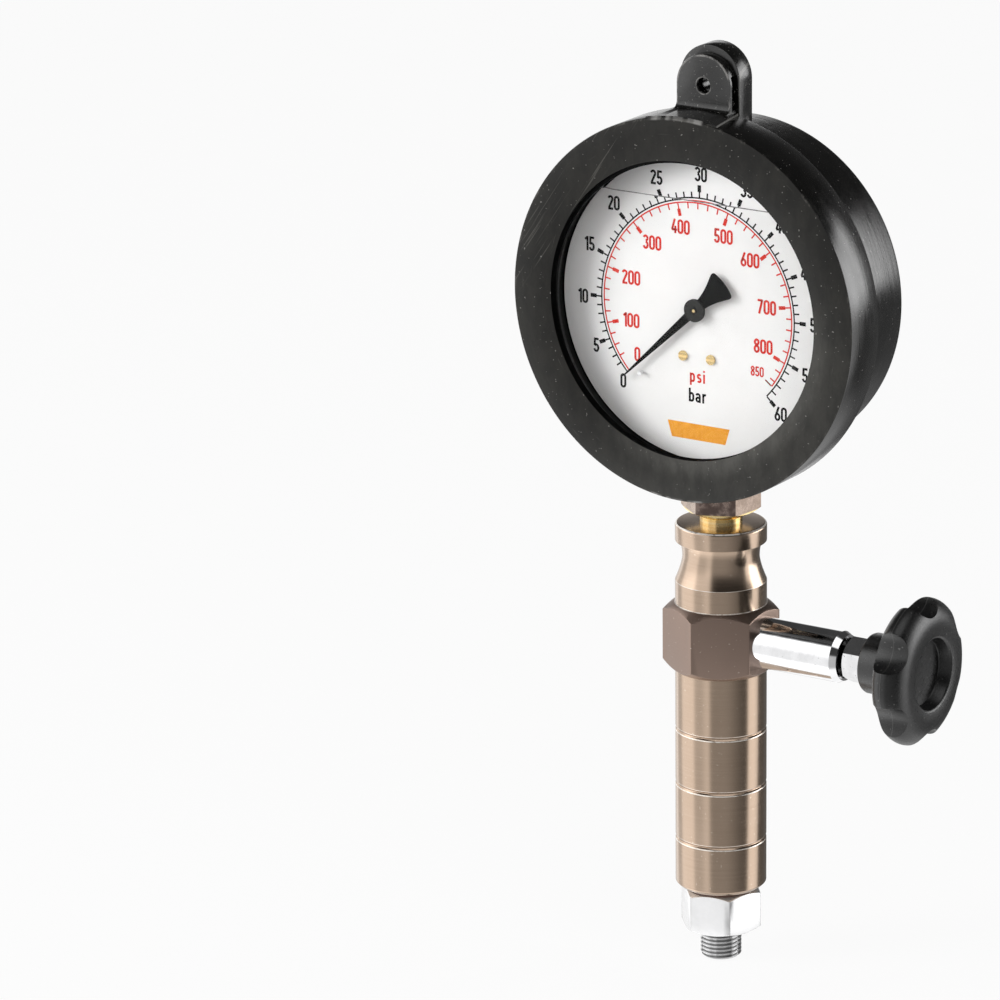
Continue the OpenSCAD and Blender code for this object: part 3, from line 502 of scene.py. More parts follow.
def inlet_plate():
    """Pale bright plating of the inlet, with painted shade making it darker down in the thread's grooves."""
    finish = Finish("inlet_plate", (0.9, 0.9, 0.91), 0.7, 0.16)
    x, y, z = finish.place.split()
    # Painted shade down in the thread's grooves
    groove = reach(x, y).ranged(0.0060, 0.0064, 1.0, 0.0) * z.ranged(-0.0003, 0.0, 1.0, 0.0)
    cloud = finish.place.grain(320.0, 3.0)
    plate = cloud.ranged(0.35, 0.65).mixed((0.72, 0.72, 0.725), (0.77, 0.77, 0.775))
    finish.colour(groove.mixed(plate, (0.3, 0.3, 0.3)))
    finish.rough(cloud, 0.12, 0.22)
    finish.raised(cloud, 0.04, 0.0003)
    return finish.material


def arbor_brass():
    """Brass arbor, blacked with the pointer's hub apart from its small end."""
    finish = Finish("arbor_brass", (0.75, 0.57, 0.28), 1.0, 0.28)
    radius, depth = round_front(finish.place, PIVOT_Z)
    fine = finish.place.grain(1500.0, 2.0)
    black = depth.ranged(-0.0122, -0.0120, 1.0, 0.0) * radius.ranged(0.00045, 0.00060)
    brass = fine.tinted((0.68, 0.5, 0.23), (0.8, 0.62, 0.32))
    finish.colour(black.mixed(brass, (0.02, 0.02, 0.02)))
    finish.rough(fine, 0.24, 0.4)
    return finish.material


def boot_rubber(name, dark, pale, shine, smooth, rough):
    """Black moulded rubber: scuffs that run round the gauge, dust, long scratches, pale lines along the rims, pale
    pared edges that are partly a painted highlight, and a painted sheen at the front's lower right.
    """
    finish = Finish(name, pale, 0.0, rough, shine)
    place = finish.place
    x, depth, z = place.split()
    rise = z - BOOT_Z
    radius, angle = reach(x, rise), rise.worked("ARCTAN2", x)
    scuffs = packed_up(radius * 900.0, angle * 3.0, depth * 900.0).grain(1.0, 4.0, 0.6)
    fine = place.grain(1400.0, 2.0)
    patches = place.stretched((1, 1, 0.45)).grain(260.0, 4.0, 0.65)
    both = place.grain(70.0, 4.0, 0.6) * 0.5 + patches * 0.5
    lug = z.ranged(0.2690, 0.2705)
    dust = (lug * 0.05 + place.grain(1150.0, 1.0)).ranged(0.735, 0.78)
    hair = scuffs.ranged(0.66, 0.72)

    # Pale lines along the front ring's front and rear rims
    front_edge = radius.band(0.0606, 0.0003, 0.0003) * depth.band(-0.0239, 0.0003, 0.0003)
    rear_edge = radius.band(0.0607, 0.0003, 0.0003) * depth.band(-0.0079, 0.0003, 0.0002)
    pale_rims = (front_edge + rear_edge) * patches.ranged(0.5, 0.7)

    # Pale pared edges round the lug's front leaf and its hole, partly a painted highlight along the leaf's edge
    leaf_rise = z - LUG_HOLE_Z
    leaf_reach = reach(x, leaf_rise)
    leaf_front = depth.ranged(-0.0100, -0.0103) * depth.ranged(-0.0108, -0.0106)
    arch = leaf_reach.band(0.0094, 0.00022, 0.0002) * leaf_rise.ranged(-0.001, 0.001)
    sides = abs(x).band(0.0094, 0.00022, 0.0002) * leaf_rise.ranged(0.001, -0.001)
    hole = leaf_reach.band(0.00265, 0.00018, 0.00015)
    pared_edges_and_highlight = hole.at_least(arch.at_least(sides)) * leaf_front * patches.ranged(0.4, 0.6)

    # Moulding flash in front of the pad, and the lines at the pad's sides
    lens = place.stretched((1, 0, 0)).grain(260.0, 1.0).ranged(0.4, 0.62) * x.band(-0.001, 0.0075, 0.004)
    flash = lens * (depth.ranged(-0.0232, -0.0235) * radius.ranged(0.0599, 0.0605))
    pad_top = depth.ranged(-0.0236, -0.0230) * radius.ranged(0.0606, 0.0610)
    pad_line = (depth * 0.126 + abs(x)).band(0.00972, 0.00012, 0.0001) * pad_top

    # Long scratches at the front face's upper left
    lean = x * 0.82 + rise * -0.57
    across = x * 0.57 + rise * 0.82
    long_marks = packed_up(lean * 1900.0, across * 36.0, depth).grain(1.0, 2.0)
    marks = long_marks.ranged(0.6, 0.68) * (lean.band(-0.0525, 0.004, 0.004) * depth.ranged(-0.0235, -0.0240))

    # Painted sheen at the front face's lower right: a pale patch standing in for light caught there
    low_side = (x * 0.55 + rise * -0.83) / radius
    painted_sheen = low_side.ranged(0.2, 0.92) * radius.ranged(0.0482, 0.0545, 1.0, 0.35)
    painted_sheen_patches = painted_sheen * patches.ranged(0.3, 0.7, 0.6, 1.0) * depth.ranged(-0.0236, -0.0240, 0.0, 0.6)

    plain = both.ranged(0.36, 0.64).mixed(dark, pale)
    black = painted_sheen_patches.mixed(plain, (0.125, 0.122, 0.112))
    scuffed = (marks * 0.3 + hair * 0.14).mixed(black, (0.17, 0.165, 0.15))
    dusty = (dust * 0.45).mixed(scuffed, (0.36, 0.35, 0.33))
    edged = (pad_line * 0.6 + pale_rims * 0.35).mixed(dusty, (0.2, 0.195, 0.18))
    pared_and_highlit = (pared_edges_and_highlight * 0.75).mixed(edged, (0.26, 0.25, 0.24))
    finish.colour((flash * 0.8).mixed(pared_and_highlit, (0.3, 0.295, 0.285)))
    finish.feed("Roughness", scuffs * 0.2 + both.ranged(0.36, 0.64, smooth, rough))
    finish.raised(scuffs * 0.7 + fine * 0.3, 0.14, 0.0004)
    return finish.material


def knob_plastic():
    """Black grained plastic with the mould's seam round the rim."""
    finish = Finish("knob_plastic", (0.012, 0.012, 0.012), 0.0, 0.5, 0.52)
    place = finish.place
    fine = place.grain(2600.0, 2.0)
    seam = place.split()[0].band(0.0709, 0.00007, 0.00007)
    black = place.grain(160.0, 3.0).ranged(0.35, 0.65).mixed((0.003, 0.003, 0.003), (0.0065, 0.0065, 0.0065))
    specks = place.grain(1500.0, 0.0).ranged(0.79, 0.83)
    dusty = (specks * 0.35).mixed(black, (0.3, 0.3, 0.29))
    finish.colour((seam * 0.3).mixed(dusty, (0.14, 0.14, 0.135)))
    finish.rough(fine, 0.27, 0.4)
    finish.raised(seam * 0.5 + fine, 0.16, 0.0002)
    return finish.material


def soft_part(name, dark, pale, roughness, scale, shine=0.5):
    finish = Finish(name, pale, 0.0, roughness, shine)
    fine = finish.place.grain(scale, 3.0)
    finish.colour(fine.tinted(dark, pale))
    finish.rough(fine, roughness - 0.08, roughness + 0.08)
    finish.raised(fine, 0.1, 0.0002)
    return finish.material


def dial_enamel():
    finish = Finish("dial_enamel", (0.85, 0.85, 0.84), 0.0, 0.4)
    cloud = finish.place.grain(60.0, 3.0)
    fine = finish.place.grain(1800.0, 2.0)
    finish.colour(cloud.tinted((0.87, 0.87, 0.865), (0.9, 0.9, 0.895)))
    finish.rough(fine, 0.34, 0.46)
    return finish.material


def printed_ink(name, dark, pale):
    finish = Finish(name, pale, 0.0, 0.5, 0.1)
    finish.colour(finish.place.grain(900.0, 3.0).tinted(dark, pale))
    return finish.material


def pointer_black():
    """Black lacquer, and the hub's turned grey face."""
    finish = Finish("pointer_black", (0.003, 0.003, 0.003), 0.0, 0.42, 0.06)
    radius, depth = round_front(finish.place, PIVOT_Z)
    fine = finish.place.grain(1200.0, 2.0)
    rings = packed_up(radius * 4000.0, depth, depth).grain(1.0, 2.0)
    hub = radius.ranged(0.0034, 0.0037, 1.0, 0.0)
    lacquer = fine.tinted((0.002, 0.002, 0.002), (0.004, 0.004, 0.004))
    grey = rings.tinted((0.02, 0.02, 0.0195), (0.042, 0.042, 0.041))
    finish.colour(hub.mixed(lacquer, grey))
    finish.rough(fine, 0.36, 0.5)
    return finish.material


def clear_front(name, colour, ior, shine):
    """Clear and refracting, letting the lamps' light through to the dial."""
    finish = Finish(name, colour, 0.0, 0.0)
    tree, shader = finish.tree, finish.shader
    shader.inputs["Transmission Weight"].default_value = 1.0
    shader.inputs["IOR"].default_value = ior
    shader.inputs["Specular Tint"].default_value = (shine, shine, shine, 1)
    finish.feed("Roughness", finish.place.grain(70.0, 3.0).ranged(0.45, 0.75, 0.0, 0.012))
    through = tree.nodes.new("ShaderNodeBsdfTransparent")
    either = either_shader(tree, light_path(tree, "Is Shadow Ray"), shader, through)
    tree.links.new(either.outputs[0], tree.nodes["Material Output"].inputs["Surface"])
    return finish.material


# Camera, light and floor

def place_camera():
    back = Vector((0.4953, -0.8179, 0.2929)).normalized()
    right = Vector((0.8554, 0.5180, 0.0)).normalized()
    up = back.cross(right)
    eye = Vector((0.0, 0.0, 0.142)) + back * 1.954
    offset, focal_length = 221, 6231
    pan = math.atan(offset / focal_length)
    right_panned = right * math.cos(pan) - back * math.sin(pan)
    back_panned = back * math.cos(pan) + right * math.sin(pan)
    bpy.ops.object.camera_add()
    camera = bpy.context.object
    camera.name = "camera"
    camera.data.lens = 224.3
    camera.data.sensor_width = 36.0
    camera.data.clip_end = 20.0
    camera.matrix_world = Matrix((
        (right_panned.x, up.x, back_panned.x, eye.x),
        (right_panned.y, up.y, back_panned.y, eye.y),
        (right_panned.z, up.z, back_panned.z, eye.z),
        (0, 0, 0, 1)))
    bpy.context.scene.camera = camera


def softbox(name, azimuth, elevation, distance, width, height, power):
    """A lamp that is aimed at the tester's middle and isn't mirrored in it."""
    bpy.ops.object.light_add(type="AREA")
    lamp = bpy.context.object
    lamp.name = name
    lamp.data.shape = "RECTANGLE"
    lamp.data.size = width
    lamp.data.size_y = height
    lamp.data.energy = power
    turn, rise = math.radians(azimuth), math.radians(elevation)
    way = Vector((math.cos(rise) * math.cos(turn), math.cos(rise) * math.sin(turn), math.sin(rise)))
    lamp.location = Vector((0, 0, 0.17)) + way * distance
    lamp.rotation_euler = (-way).to_track_quat("-Z", "Y").to_euler()
    lamp.visible_glossy = False


def studio_world(strength):
    """White behind the object; metals also see softboxes at the left and right and a dark room above."""
    world = bpy.data.worlds.new("studio")
    bpy.context.scene.world = world
    world.use_nodes = True
    tree = world.node_tree
    tree.nodes.clear()
    out = tree.nodes.new("ShaderNodeOutputWorld")
    way = Shade(tree, tree.nodes.new("ShaderNodeTexCoord").outputs["Generated"])
    x, y, z = way.split()
    azimuth = y.degrees_over(x)
    rear_azimuth = (y * -1.0).degrees_over(x * -1.0)
    elevation = z.worked("ARCSINE").worked("DEGREES")
    low_wall = elevation.ranged(-40.0, -28.0) * elevation.ranged(10.0, 18.0, 1.0, 0.0)
    tall_wall = elevation.ranged(-62.0, -48.0) * elevation.ranged(38.0, 50.0, 1.0, 0.0)
    left_glow = tall_wall * elevation.ranged(-4.0, 22.0, 1.0, 1.7)
    right_low = azimuth.band(31.0, 14.0, 6.0) * low_wall
    right_high = azimuth.band(47.0, 15.0, 6.0) * elevation.band(8.0, 11.0, 6.0)
    back_wall = azimuth.band(137.0, 18.0, 14.0) * low_wall
    left_box = azimuth.band(-131.0, 39.0, 10.0) * left_glow
    left_wall = rear_azimuth.band(12.0, 34.0, 8.0) * left_glow
    front_fill = azimuth.ranged(-112.0, -93.0) * azimuth.ranged(-56.0, 10.0, 1.0, 0.0) * low_wall
    right_strip = azimuth.band(24.0, 9.0, 9.0) * tall_wall
    high_box = way.along((0.198, -0.166, 0.966)).ranged(0.87, 0.94)
    level = elevation.ranged(8.0, 24.0, 0.17, 0.045) + elevation.ranged(-46.0, -28.0, 0.95, 0.0)
    for box, power in ((right_low, 1.35), (right_high, 4.0), (back_wall, 0.9), (left_box, 0.8), (left_wall, 0.75),
                       (front_fill, 0.35), (right_strip, 0.3), (high_box, 1.3)):
        level = box * power + level
    shades = {}
    for key in ("white", "light", "mirrored"):
        shades[key] = tree.nodes.new("ShaderNodeBackground")
        shades[key].inputs["Color"].default_value = (1, 1, 1, 1)
    shades["light"].inputs["Strength"].default_value = strength
    level.into(shades["mirrored"].inputs["Strength"])
    seen = light_path(tree, "Is Camera Ray").at_least(light_path(tree, "Is Transmission Ray"))
    lit = either_shader(tree, light_path(tree, "Is Glossy Ray"), shades["light"], shades["mirrored"])
    tree.links.new(either_shader(tree, seen, lit, shades["white"]).outputs[0], out.inputs[0])


def pale_floor():
    floor = fresh("floor", bpy.ops.mesh.primitive_grid_add, x_subdivisions=4, y_subdivisions=4, size=8.0,
                  location=(0, 0, cad_box[0][2] - 0.0005))
    finish = Finish("pale_floor", (0.9, 0.9, 0.9), 0.0, 0.9)
    tree = finish.tree
    finish.colour(finish.place.grain(40.0, 2.0).tinted((0.89, 0.89, 0.89), (0.91, 0.91, 0.91)))
    white = tree.nodes.new("ShaderNodeEmission")
    white.inputs["Strength"].default_value = 1.0
    mix = either_shader(tree, light_path(tree, "Is Camera Ray") * 0.92, finish.shader, white)
    tree.links.new(mix.outputs[0], tree.nodes["Material Output"].inputs["Surface"])
    floor.data.materials.append(finish.material)
    floor.visible_glossy = False


# Pieces

def root_fillet():
    """The hollow fillet where the lug's front grows out of the pad."""
    hollow, front, low, half = 0.0026, 0.0104, BOOT_Z + 0.0612, 0.0095
    places = [(0.0098, BOOT_Z + 0.0600), (0.0098, low + hollow)]
    for share in range(9):
        turn = math.radians(90 * share / 8)
        places.append((front + hollow - hollow * math.cos(turn), low + hollow - hollow * math.sin(turn)))
    places.append((front + hollow, BOOT_Z + 0.0600))
    fillet = outlined("fillet", [(-half, -depth, height) for depth, height in places], "NGON")
    extruded(fillet, (2 * half, 0, 0))
    pad_r = 0.06135
    for corner in fillet.data.vertices:
        corner.co.z -= (pad_r - math.sqrt(pad_r ** 2 - corner.co.x ** 2)) * 0.8
    clean_shell(fillet)
    return fillet


def lug_leaf(name, front, back, rise, half):
    """One leaf of the hanging lug, round above and straight down to the ring."""
    middle, root = LUG_HOLE_Z + rise, BOOT_Z + 0.0530
    leaf = fresh(name, bpy.ops.mesh.primitive_circle_add, vertices=96, radius=half, fill_type="NGON",
                 location=(0, -front, middle), rotation=FACING_FRONT)
    for corner in leaf.data.vertices:
        if corner.co.z < middle - 0.00001:
            corner.co.x = math.copysign(half, corner.co.x) if abs(corner.co.x) > 0.00001 else half
            corner.co.z = root
    bpy.ops.object.mode_set(mode="EDIT")
    bpy.ops.mesh.select_all(action="SELECT")
    bpy.ops.mesh.remove_doubles(threshold=0.00001)
    bpy.ops.mesh.extrude_region_move(TRANSFORM_OT_translate={"value": (0, front - back, 0)})
    bpy.ops.object.mode_set(mode="OBJECT")
    clean_shell(leaf)
    round_edges(leaf, 0.00035)
    return leaf


def model_boot():
    """The moulded boot: a turned ring with its step, the pad, the two-leaf hanging lug and the stem's hole."""
    outline = [(0.04725, 0.02120), (0.04725, 0.02365), (0.04737, 0.02398), (0.04770, 0.02410),
               (0.06040, 0.02410), (0.06072, 0.02398), (0.06085, 0.02365), (0.06085, 0.00825),
               (0.06072, 0.00792), (0.06040, 0.00780), (0.05440, 0.00780), (0.05420, 0.00760),
               (0.05420, -0.01740), (0.05410, -0.01800), (0.05372, -0.01852), (0.05320, -0.01886),
               (0.05260, -0.01900), (0.04040, -0.01900), (0.04010, -0.01888), (0.04000, -0.01860),
               (0.04000, -0.01615), (0.05200, -0.01615), (0.05200, 0.00980), (0.05600, 0.00980),
               (0.05600, 0.02120)]
    boot = turned_about_front("boot", outline, BOOT_Z, 192)
    carve(boot, lug_leaf("rear_leaf", 0.0066, -0.0010, 0.0014, 0.0107), "UNION")
    carve(boot, lug_leaf("front_leaf", 0.0104, 0.00655, 0.0, 0.0097), "UNION")
    pad = turned_about_front("pad", [(0.0580, 0.0075), (0.06135, 0.0075), (0.06135, 0.02340), (0.06105, 0.02375),
                                     (0.0580, 0.02375)], BOOT_Z, 192)
    keep = block("pad_sides", (0, -0.01575, 0.269), (0.0214, 0.0170, 0.010))
    for corner in keep.data.vertices:
        if corner.co.y < -0.02:
            corner.co.x *= 0.0127 / 0.0107
    carve(pad, keep, "INTERSECT")
    carve(boot, pad, "UNION")
    carve(boot, root_fillet(), "UNION")
    low, high = (-0.02, -0.0094, 0.27005), (0.02, -0.0066, 0.2806)
    carve(boot, block("slot_tool", [(a + b) / 2 for a, b in zip(low, high)], [b - a for a, b in zip(low, high)]),
          "DIFFERENCE")
    carve(boot, rod_tool(0.0025, (0, -0.0047, LUG_HOLE_Z), 0.03, FACING_FRONT), "DIFFERENCE")
    carve(boot, rod_tool(0.0135, (0, 0, 0.1535), 0.02, (0, 0, 0)), "DIFFERENCE")
    finished(boot, 32,
             boot_rubber("boot_rubber", (0.003, 0.0029, 0.0026), (0.0055, 0.0052, 0.0046), 0.66, 0.07, 0.15),
             boot_rubber("boot_face_painted_sheen", (0.0065, 0.0062, 0.0053), (0.016, 0.0152, 0.013), 0.22, 0.3, 0.42),
             soft_part("boot_lip_painted_shade", (0.001, 0.001, 0.001), (0.002, 0.002, 0.0019), 0.7, 900.0, 0.03))
    for face in boot.data.polygons:
        away = math.hypot(face.center.x, face.center.z - BOOT_Z)
        # The front ring face takes the paler copy of the rubber, its extra paleness a painted sheen
        if face.normal.y < -0.7 and face.center.y < -0.0236:
            face.material_index = 1
        # The opening's inner wall takes the near-black copy of the rubber as painted shade
        elif away < 0.0478 and face.center.y < -0.0210:
            face.material_index = 2
    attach(boot, "tester")
    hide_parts("rubber_boot")


def model_inlet(plate):
    """Plated inlet: the chamfered hexagon and a cut thread below it."""
    pitch, root, end_z, hex_top = 0.001337, 0.00578, -0.0098, 0.0133
    flank = [(root, 0.0), (THREAD_R, 0.36), (THREAD_R, 0.5), (root, 0.86), (root, 1.0)]
    thread = outlined("inlet", [(radius, 0, end_z + (share - 2) * pitch) for radius, share in flank])
    bpy.ops.object.mode_set(mode="EDIT")
    bpy.ops.mesh.select_mode(type="EDGE")
    bpy.ops.mesh.select_all(action="DESELECT")
    bpy.ops.object.mode_set(mode="OBJECT")
    for edge in thread.data.edges:
        edge.select = set(edge.vertices) == {0, 4}
    bpy.ops.object.mode_set(mode="EDIT")
    bpy.ops.mesh.delete(type="EDGE")
    bpy.ops.object.mode_set(mode="OBJECT")
    wound(thread, pitch, 12, 64)
    clean_shell(thread)
    for level, way in ((end_z, -1), (0.0004, 1)):
        on_mesh(thread, bpy.ops.mesh.bisect, plane_co=(0, 0, level), plane_no=(0, 0, way), use_fill=True,
                clear_outer=True)
    clean_shell(thread)
    nose = turned_upright("nose", [(0, end_z), (0.00570, end_z), (0.00668, -0.0089), (0.00668, 0.0012),
                                   (0, 0.0012)], 64)
    carve(thread, nose, "INTERSECT")
    corner_r = 0.0115 / math.cos(math.pi / 6)
    blank_r = corner_r + 0.00002
    hexagon = hex_bar("hexagon", corner_r, hex_top / 2, hex_top, -16.5,
                      [(0, 0), (0.0113, 0), (blank_r, 0.0011), (blank_r, 0.0122), (0.0113, hex_top),
                       (0, hex_top)], 120)
    round_edges(hexagon, 0.00012, 2, 25)
    carve(thread, hexagon, "UNION")
    stud = turned_upright("stud", [(0, 0.0130), (THREAD_R, 0.0130), (THREAD_R, 0.0200), (0, 0.0200)], 64)
    carve(thread, stud, "UNION")
    carve(thread, rod_tool(0.0023, (0, 0, 0.005), 0.05, (0, 0, 0), 48), "DIFFERENCE")
    finished(thread, 28, plate)
    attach(thread, "tester")
    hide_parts("inlet_fitting")


def model_barrel(bronze):
    """The barrel turned in one with its grooves, cove and collar, the hexagon grown on, the bores cut."""
    neck = 0.0122
    outline = [(0, 0.0146), (0.0133, 0.0146), (BARREL_R, 0.0158)]
    for groove in GROOVES:
        outline += [(BARREL_R, groove - 0.0006), (0.0139, groove), (BARREL_R, groove + 0.0006)]
    outline.append((BARREL_R, WAIST_Z))
    for step in range(1, 25):
        outline.append((neck + 0.0023 * (1 - step / 24) ** 1.5, WAIST_Z + 0.0078 * step / 24))
    for step in range(1, 17):
        outline.append((neck + 0.0008 * (step / 16) ** 2, WAIST_Z + 0.0078 + 0.0052 * step / 16))
    outline += [(BARREL_R, 0.1292), (BARREL_R, 0.1345), (0.0139, 0.1351), (0, 0.1351)]
    barrel = turned_upright("barrel", softened(outline, 0.0003), 144)
    low, high, corner_r = VALVE_Z - 0.01105, VALVE_Z + 0.01105, 0.016 / math.cos(math.pi / 6)
    blank_r, chamfer = corner_r + 0.00002, 0.00285
    hexagon = hex_bar("barrel_hexagon", corner_r, VALVE_Z, high - low, 0,
                      [(0, low), (0.0144, low), (blank_r, low + chamfer), (blank_r, high - chamfer), (0.0144, high),
                       (0, high)], 144)
    round_edges(hexagon, 0.0002, 2, 25)
    carve(barrel, hexagon, "UNION")
    bores = turned_upright("bores", [(0, 0.0136), (THREAD_HOLE_R, 0.0136), (THREAD_HOLE_R, 0.0269), (0.0050, 0.0269),
                                     (0.0050, 0.0440), (0.0028, 0.0440), (0.0028, 0.1211), (THREAD_HOLE_R, 0.1211),
                                     (THREAD_HOLE_R, 0.1361), (0, 0.1361)], 64)
    carve(barrel, bores, "DIFFERENCE")
    carve(barrel, rod_tool(0.00704, (0.0115, 0, VALVE_Z), 0.0110, FACING_SIDE), "DIFFERENCE")
    carve(barrel, rod_tool(0.0015, (0.0035, 0, VALVE_Z), 0.0070, FACING_SIDE, 32), "DIFFERENCE")
    finished(barrel, 16, bronze)
    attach(barrel, "tester")
    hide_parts("tester_body")


def model_knob():
    """Six-scallop knob: hub and round rim turned in one, finger hollows cut, edges softened."""
    start, rim_x, half, outer, wide = 0.0546, 0.0710, 0.0059, 0.0233, 0.0083
    finger, bite = 0.0072, 0.005
    outline = [(0, rim_x - 0.0020), (0.0060, rim_x - 0.0020), (0.0060, start), (0.0086, start),
               (0.0093, start + 0.0003), (0.0096, start + 0.0010),
               (0.0096, rim_x - half - 0.0020), (0.0099, rim_x - half - 0.0009), (0.0106, rim_x - half - 0.0002),
               (0.0116, rim_x - half)]
    for step in range(1, 40):
        turn = math.radians(-90 + 180 * step / 40)
        outline.append((outer - wide + wide * math.cos(turn), rim_x + half * math.sin(turn)))
    outline += [(0.0122, rim_x + half), (0.0116, rim_x + half - 0.0002), (0.0112, rim_x + half - 0.0007),
                (0.0109, rim_x + half - 0.0040), (0.0106, rim_x + half - 0.0044), (0, rim_x + half - 0.0044)]
    knob = turned("grip_knob", [(along, radius, VALVE_Z) for radius, along in outline], (0, 0, VALVE_Z), (1, 0, 0), 144)
    away = outer - bite + finger
    for index in range(6):
        turn = math.radians(180 + 60 * index)
        carve(knob, rod_tool(finger, (rim_x, away * math.sin(turn), VALVE_Z - away * math.cos(turn)), 0.03,
                             FACING_SIDE, 72), "DIFFERENCE")
    clean_shell(knob)
    round_edges(knob, 0.00035, 3, 40)
    soft_shade(knob, 40)
    knob.data.materials.append(knob_plastic())
    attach(knob, "spindle")
    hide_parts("knob")


def model_spring():
    """The check valve's spring, wound from round wire."""
    wire, coil, turns, low, high = 0.00035, 0.0035, 6, 0.0308, 0.0436
    spring = fresh("wound_spring", bpy.ops.mesh.primitive_circle_add, vertices=16, radius=wire,
                   location=(coil, 0, low), rotation=FACING_FRONT)
    wound(spring, (high - low) / turns, turns, 40)
    on_mesh(spring, bpy.ops.mesh.fill_holes, sides=16)
    finished(spring, 40, frame["nodes"]["check_spring"].data.materials[0])
    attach(spring, "tester")
    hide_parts("check_spring")
    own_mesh(spring)


def model_tube():
    """The Bourdon tube: a flat oval swept round the movement and given its wall."""
    radius, half_t, half_w, depth = 0.036, 0.0018, 0.0055, -0.0042
    root, free, points = math.radians(252), math.radians(-15), 40
    places = []
    for index in range(points):
        turn = FULL_TURN * (index + 0.5) / points
        away = radius + half_t * math.cos(turn)
        along = half_t * math.sin(turn) + math.copysign(half_w - half_t, math.sin(turn))
        places.append((away * math.cos(root), -depth - along, PIVOT_Z + away * math.sin(root)))
    tube = outlined("swept_tube", places)
    on_mesh(tube, bpy.ops.mesh.spin, steps=89, angle=root - free, center=(0, 0, PIVOT_Z), axis=(0, -1, 0))
    clean_shell(tube)
    wall = tube.modifiers.new("wall", "SOLIDIFY")
    wall.thickness = 0.0007
    wall.offset = -1.0
    bpy.ops.object.modifier_apply(modifier=wall.name)
    finished(tube, 40, frame["nodes"]["bourdon_tube"].data.materials[0])
    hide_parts("bourdon_tube")
    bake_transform(tube)


def model_pointer():
    """Lacquered pointer: a flat tapered blade with a flared fan tail, and the turned hub over it."""
    side = [(0.0360, 0.00006), (0.0350, 0.00022), (0.0040, 0.00138), (-0.0030, 0.00172), (-0.0050, 0.00205),
            (-0.0070, 0.00252), (-0.0090, 0.00317), (-0.0110, 0.00400), (-0.0122, 0.00452), (-0.0129, 0.00478),
            (-0.0134, 0.00482), (-0.0138, 0.00465)]
    outline = list(side)
    for step in range(11):
        turn = math.radians(17.0 - 3.4 * step)
        outline.append((-0.0147 * math.cos(turn), 0.0147 * math.sin(turn)))
    outline += [(along, -half) for along, half in reversed(side)]
    rest = math.radians(REST_ANGLE)
    places = [(along * math.cos(rest) - half * math.sin(rest), -0.0129,
               PIVOT_Z + along * math.sin(rest) + half * math.cos(rest)) for along, half in outline]
    pointer = outlined("lacquered_pointer", places, "NGON")
    extruded(pointer, (0, -0.0006, 0))
    clean_shell(pointer)
    hub = turned_about_front("hub", [(0, 0.0124), (0.0035, 0.0124), (0.0036, 0.0125), (0.0036, 0.0138),
                                     (0.0035, 0.0139), (0, 0.0139)], PIVOT_Z, 96)
    carve(pointer, hub, "UNION")
    carve(pointer, rod_tool(0.0012, (0, -0.0132, PIVOT_Z), 0.004, FACING_FRONT, 48), "DIFFERENCE")
    finished(pointer, 30, pointer_black())
    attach(pointer, "pointer")
    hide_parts("pointer")


def on_dial(radius, angle):
    turn = math.radians(angle)
    return Vector((radius * math.cos(turn), -DIAL_FACE - PRINT_LIFT, PIVOT_Z + radius * math.sin(turn)))


def print_marks(name, inner, outer, width, start, step, count):
    """A row of printed marks, one mark drawn and then spun round the dial."""
    marks = block(name, on_dial((inner + outer) / 2, start), (outer - inner, PRINT_LIFT, width),
                  (0, -math.radians(start), 0))
    on_mesh(marks, bpy.ops.mesh.spin, steps=count - 1, dupli=True, angle=math.radians(step * (count - 1)),
            center=(0, 0, PIVOT_Z), axis=(0, -1, 0))
    return marks


def print_line(name, radius, width, start, sweep):
    """A printed scale line: the ink's small section spun along the scale."""
    inner, outer = on_dial(radius - width / 2, start), on_dial(radius + width / 2, start)
    ink = Vector((0, PRINT_LIFT / 2, 0))
    line = outlined(name, [inner - ink, outer - ink, outer + ink, inner + ink])
    on_mesh(line, bpy.ops.mesh.spin, steps=180, angle=math.radians(sweep), center=(0, 0, PIVOT_Z), axis=(0, -1, 0))
    clean_shell(line)
    return line


def bow(middle, size, start, stop, steps=12):
    """Points of a figure's curve, on an ellipse from one angle to another."""
    points = []
    for step in range(steps + 1):
        turn = math.radians(start + (stop - start) * step / steps)
        points.append((middle[0] + size[0] * math.cos(turn), middle[1] + size[1] * math.sin(turn)))
    return points


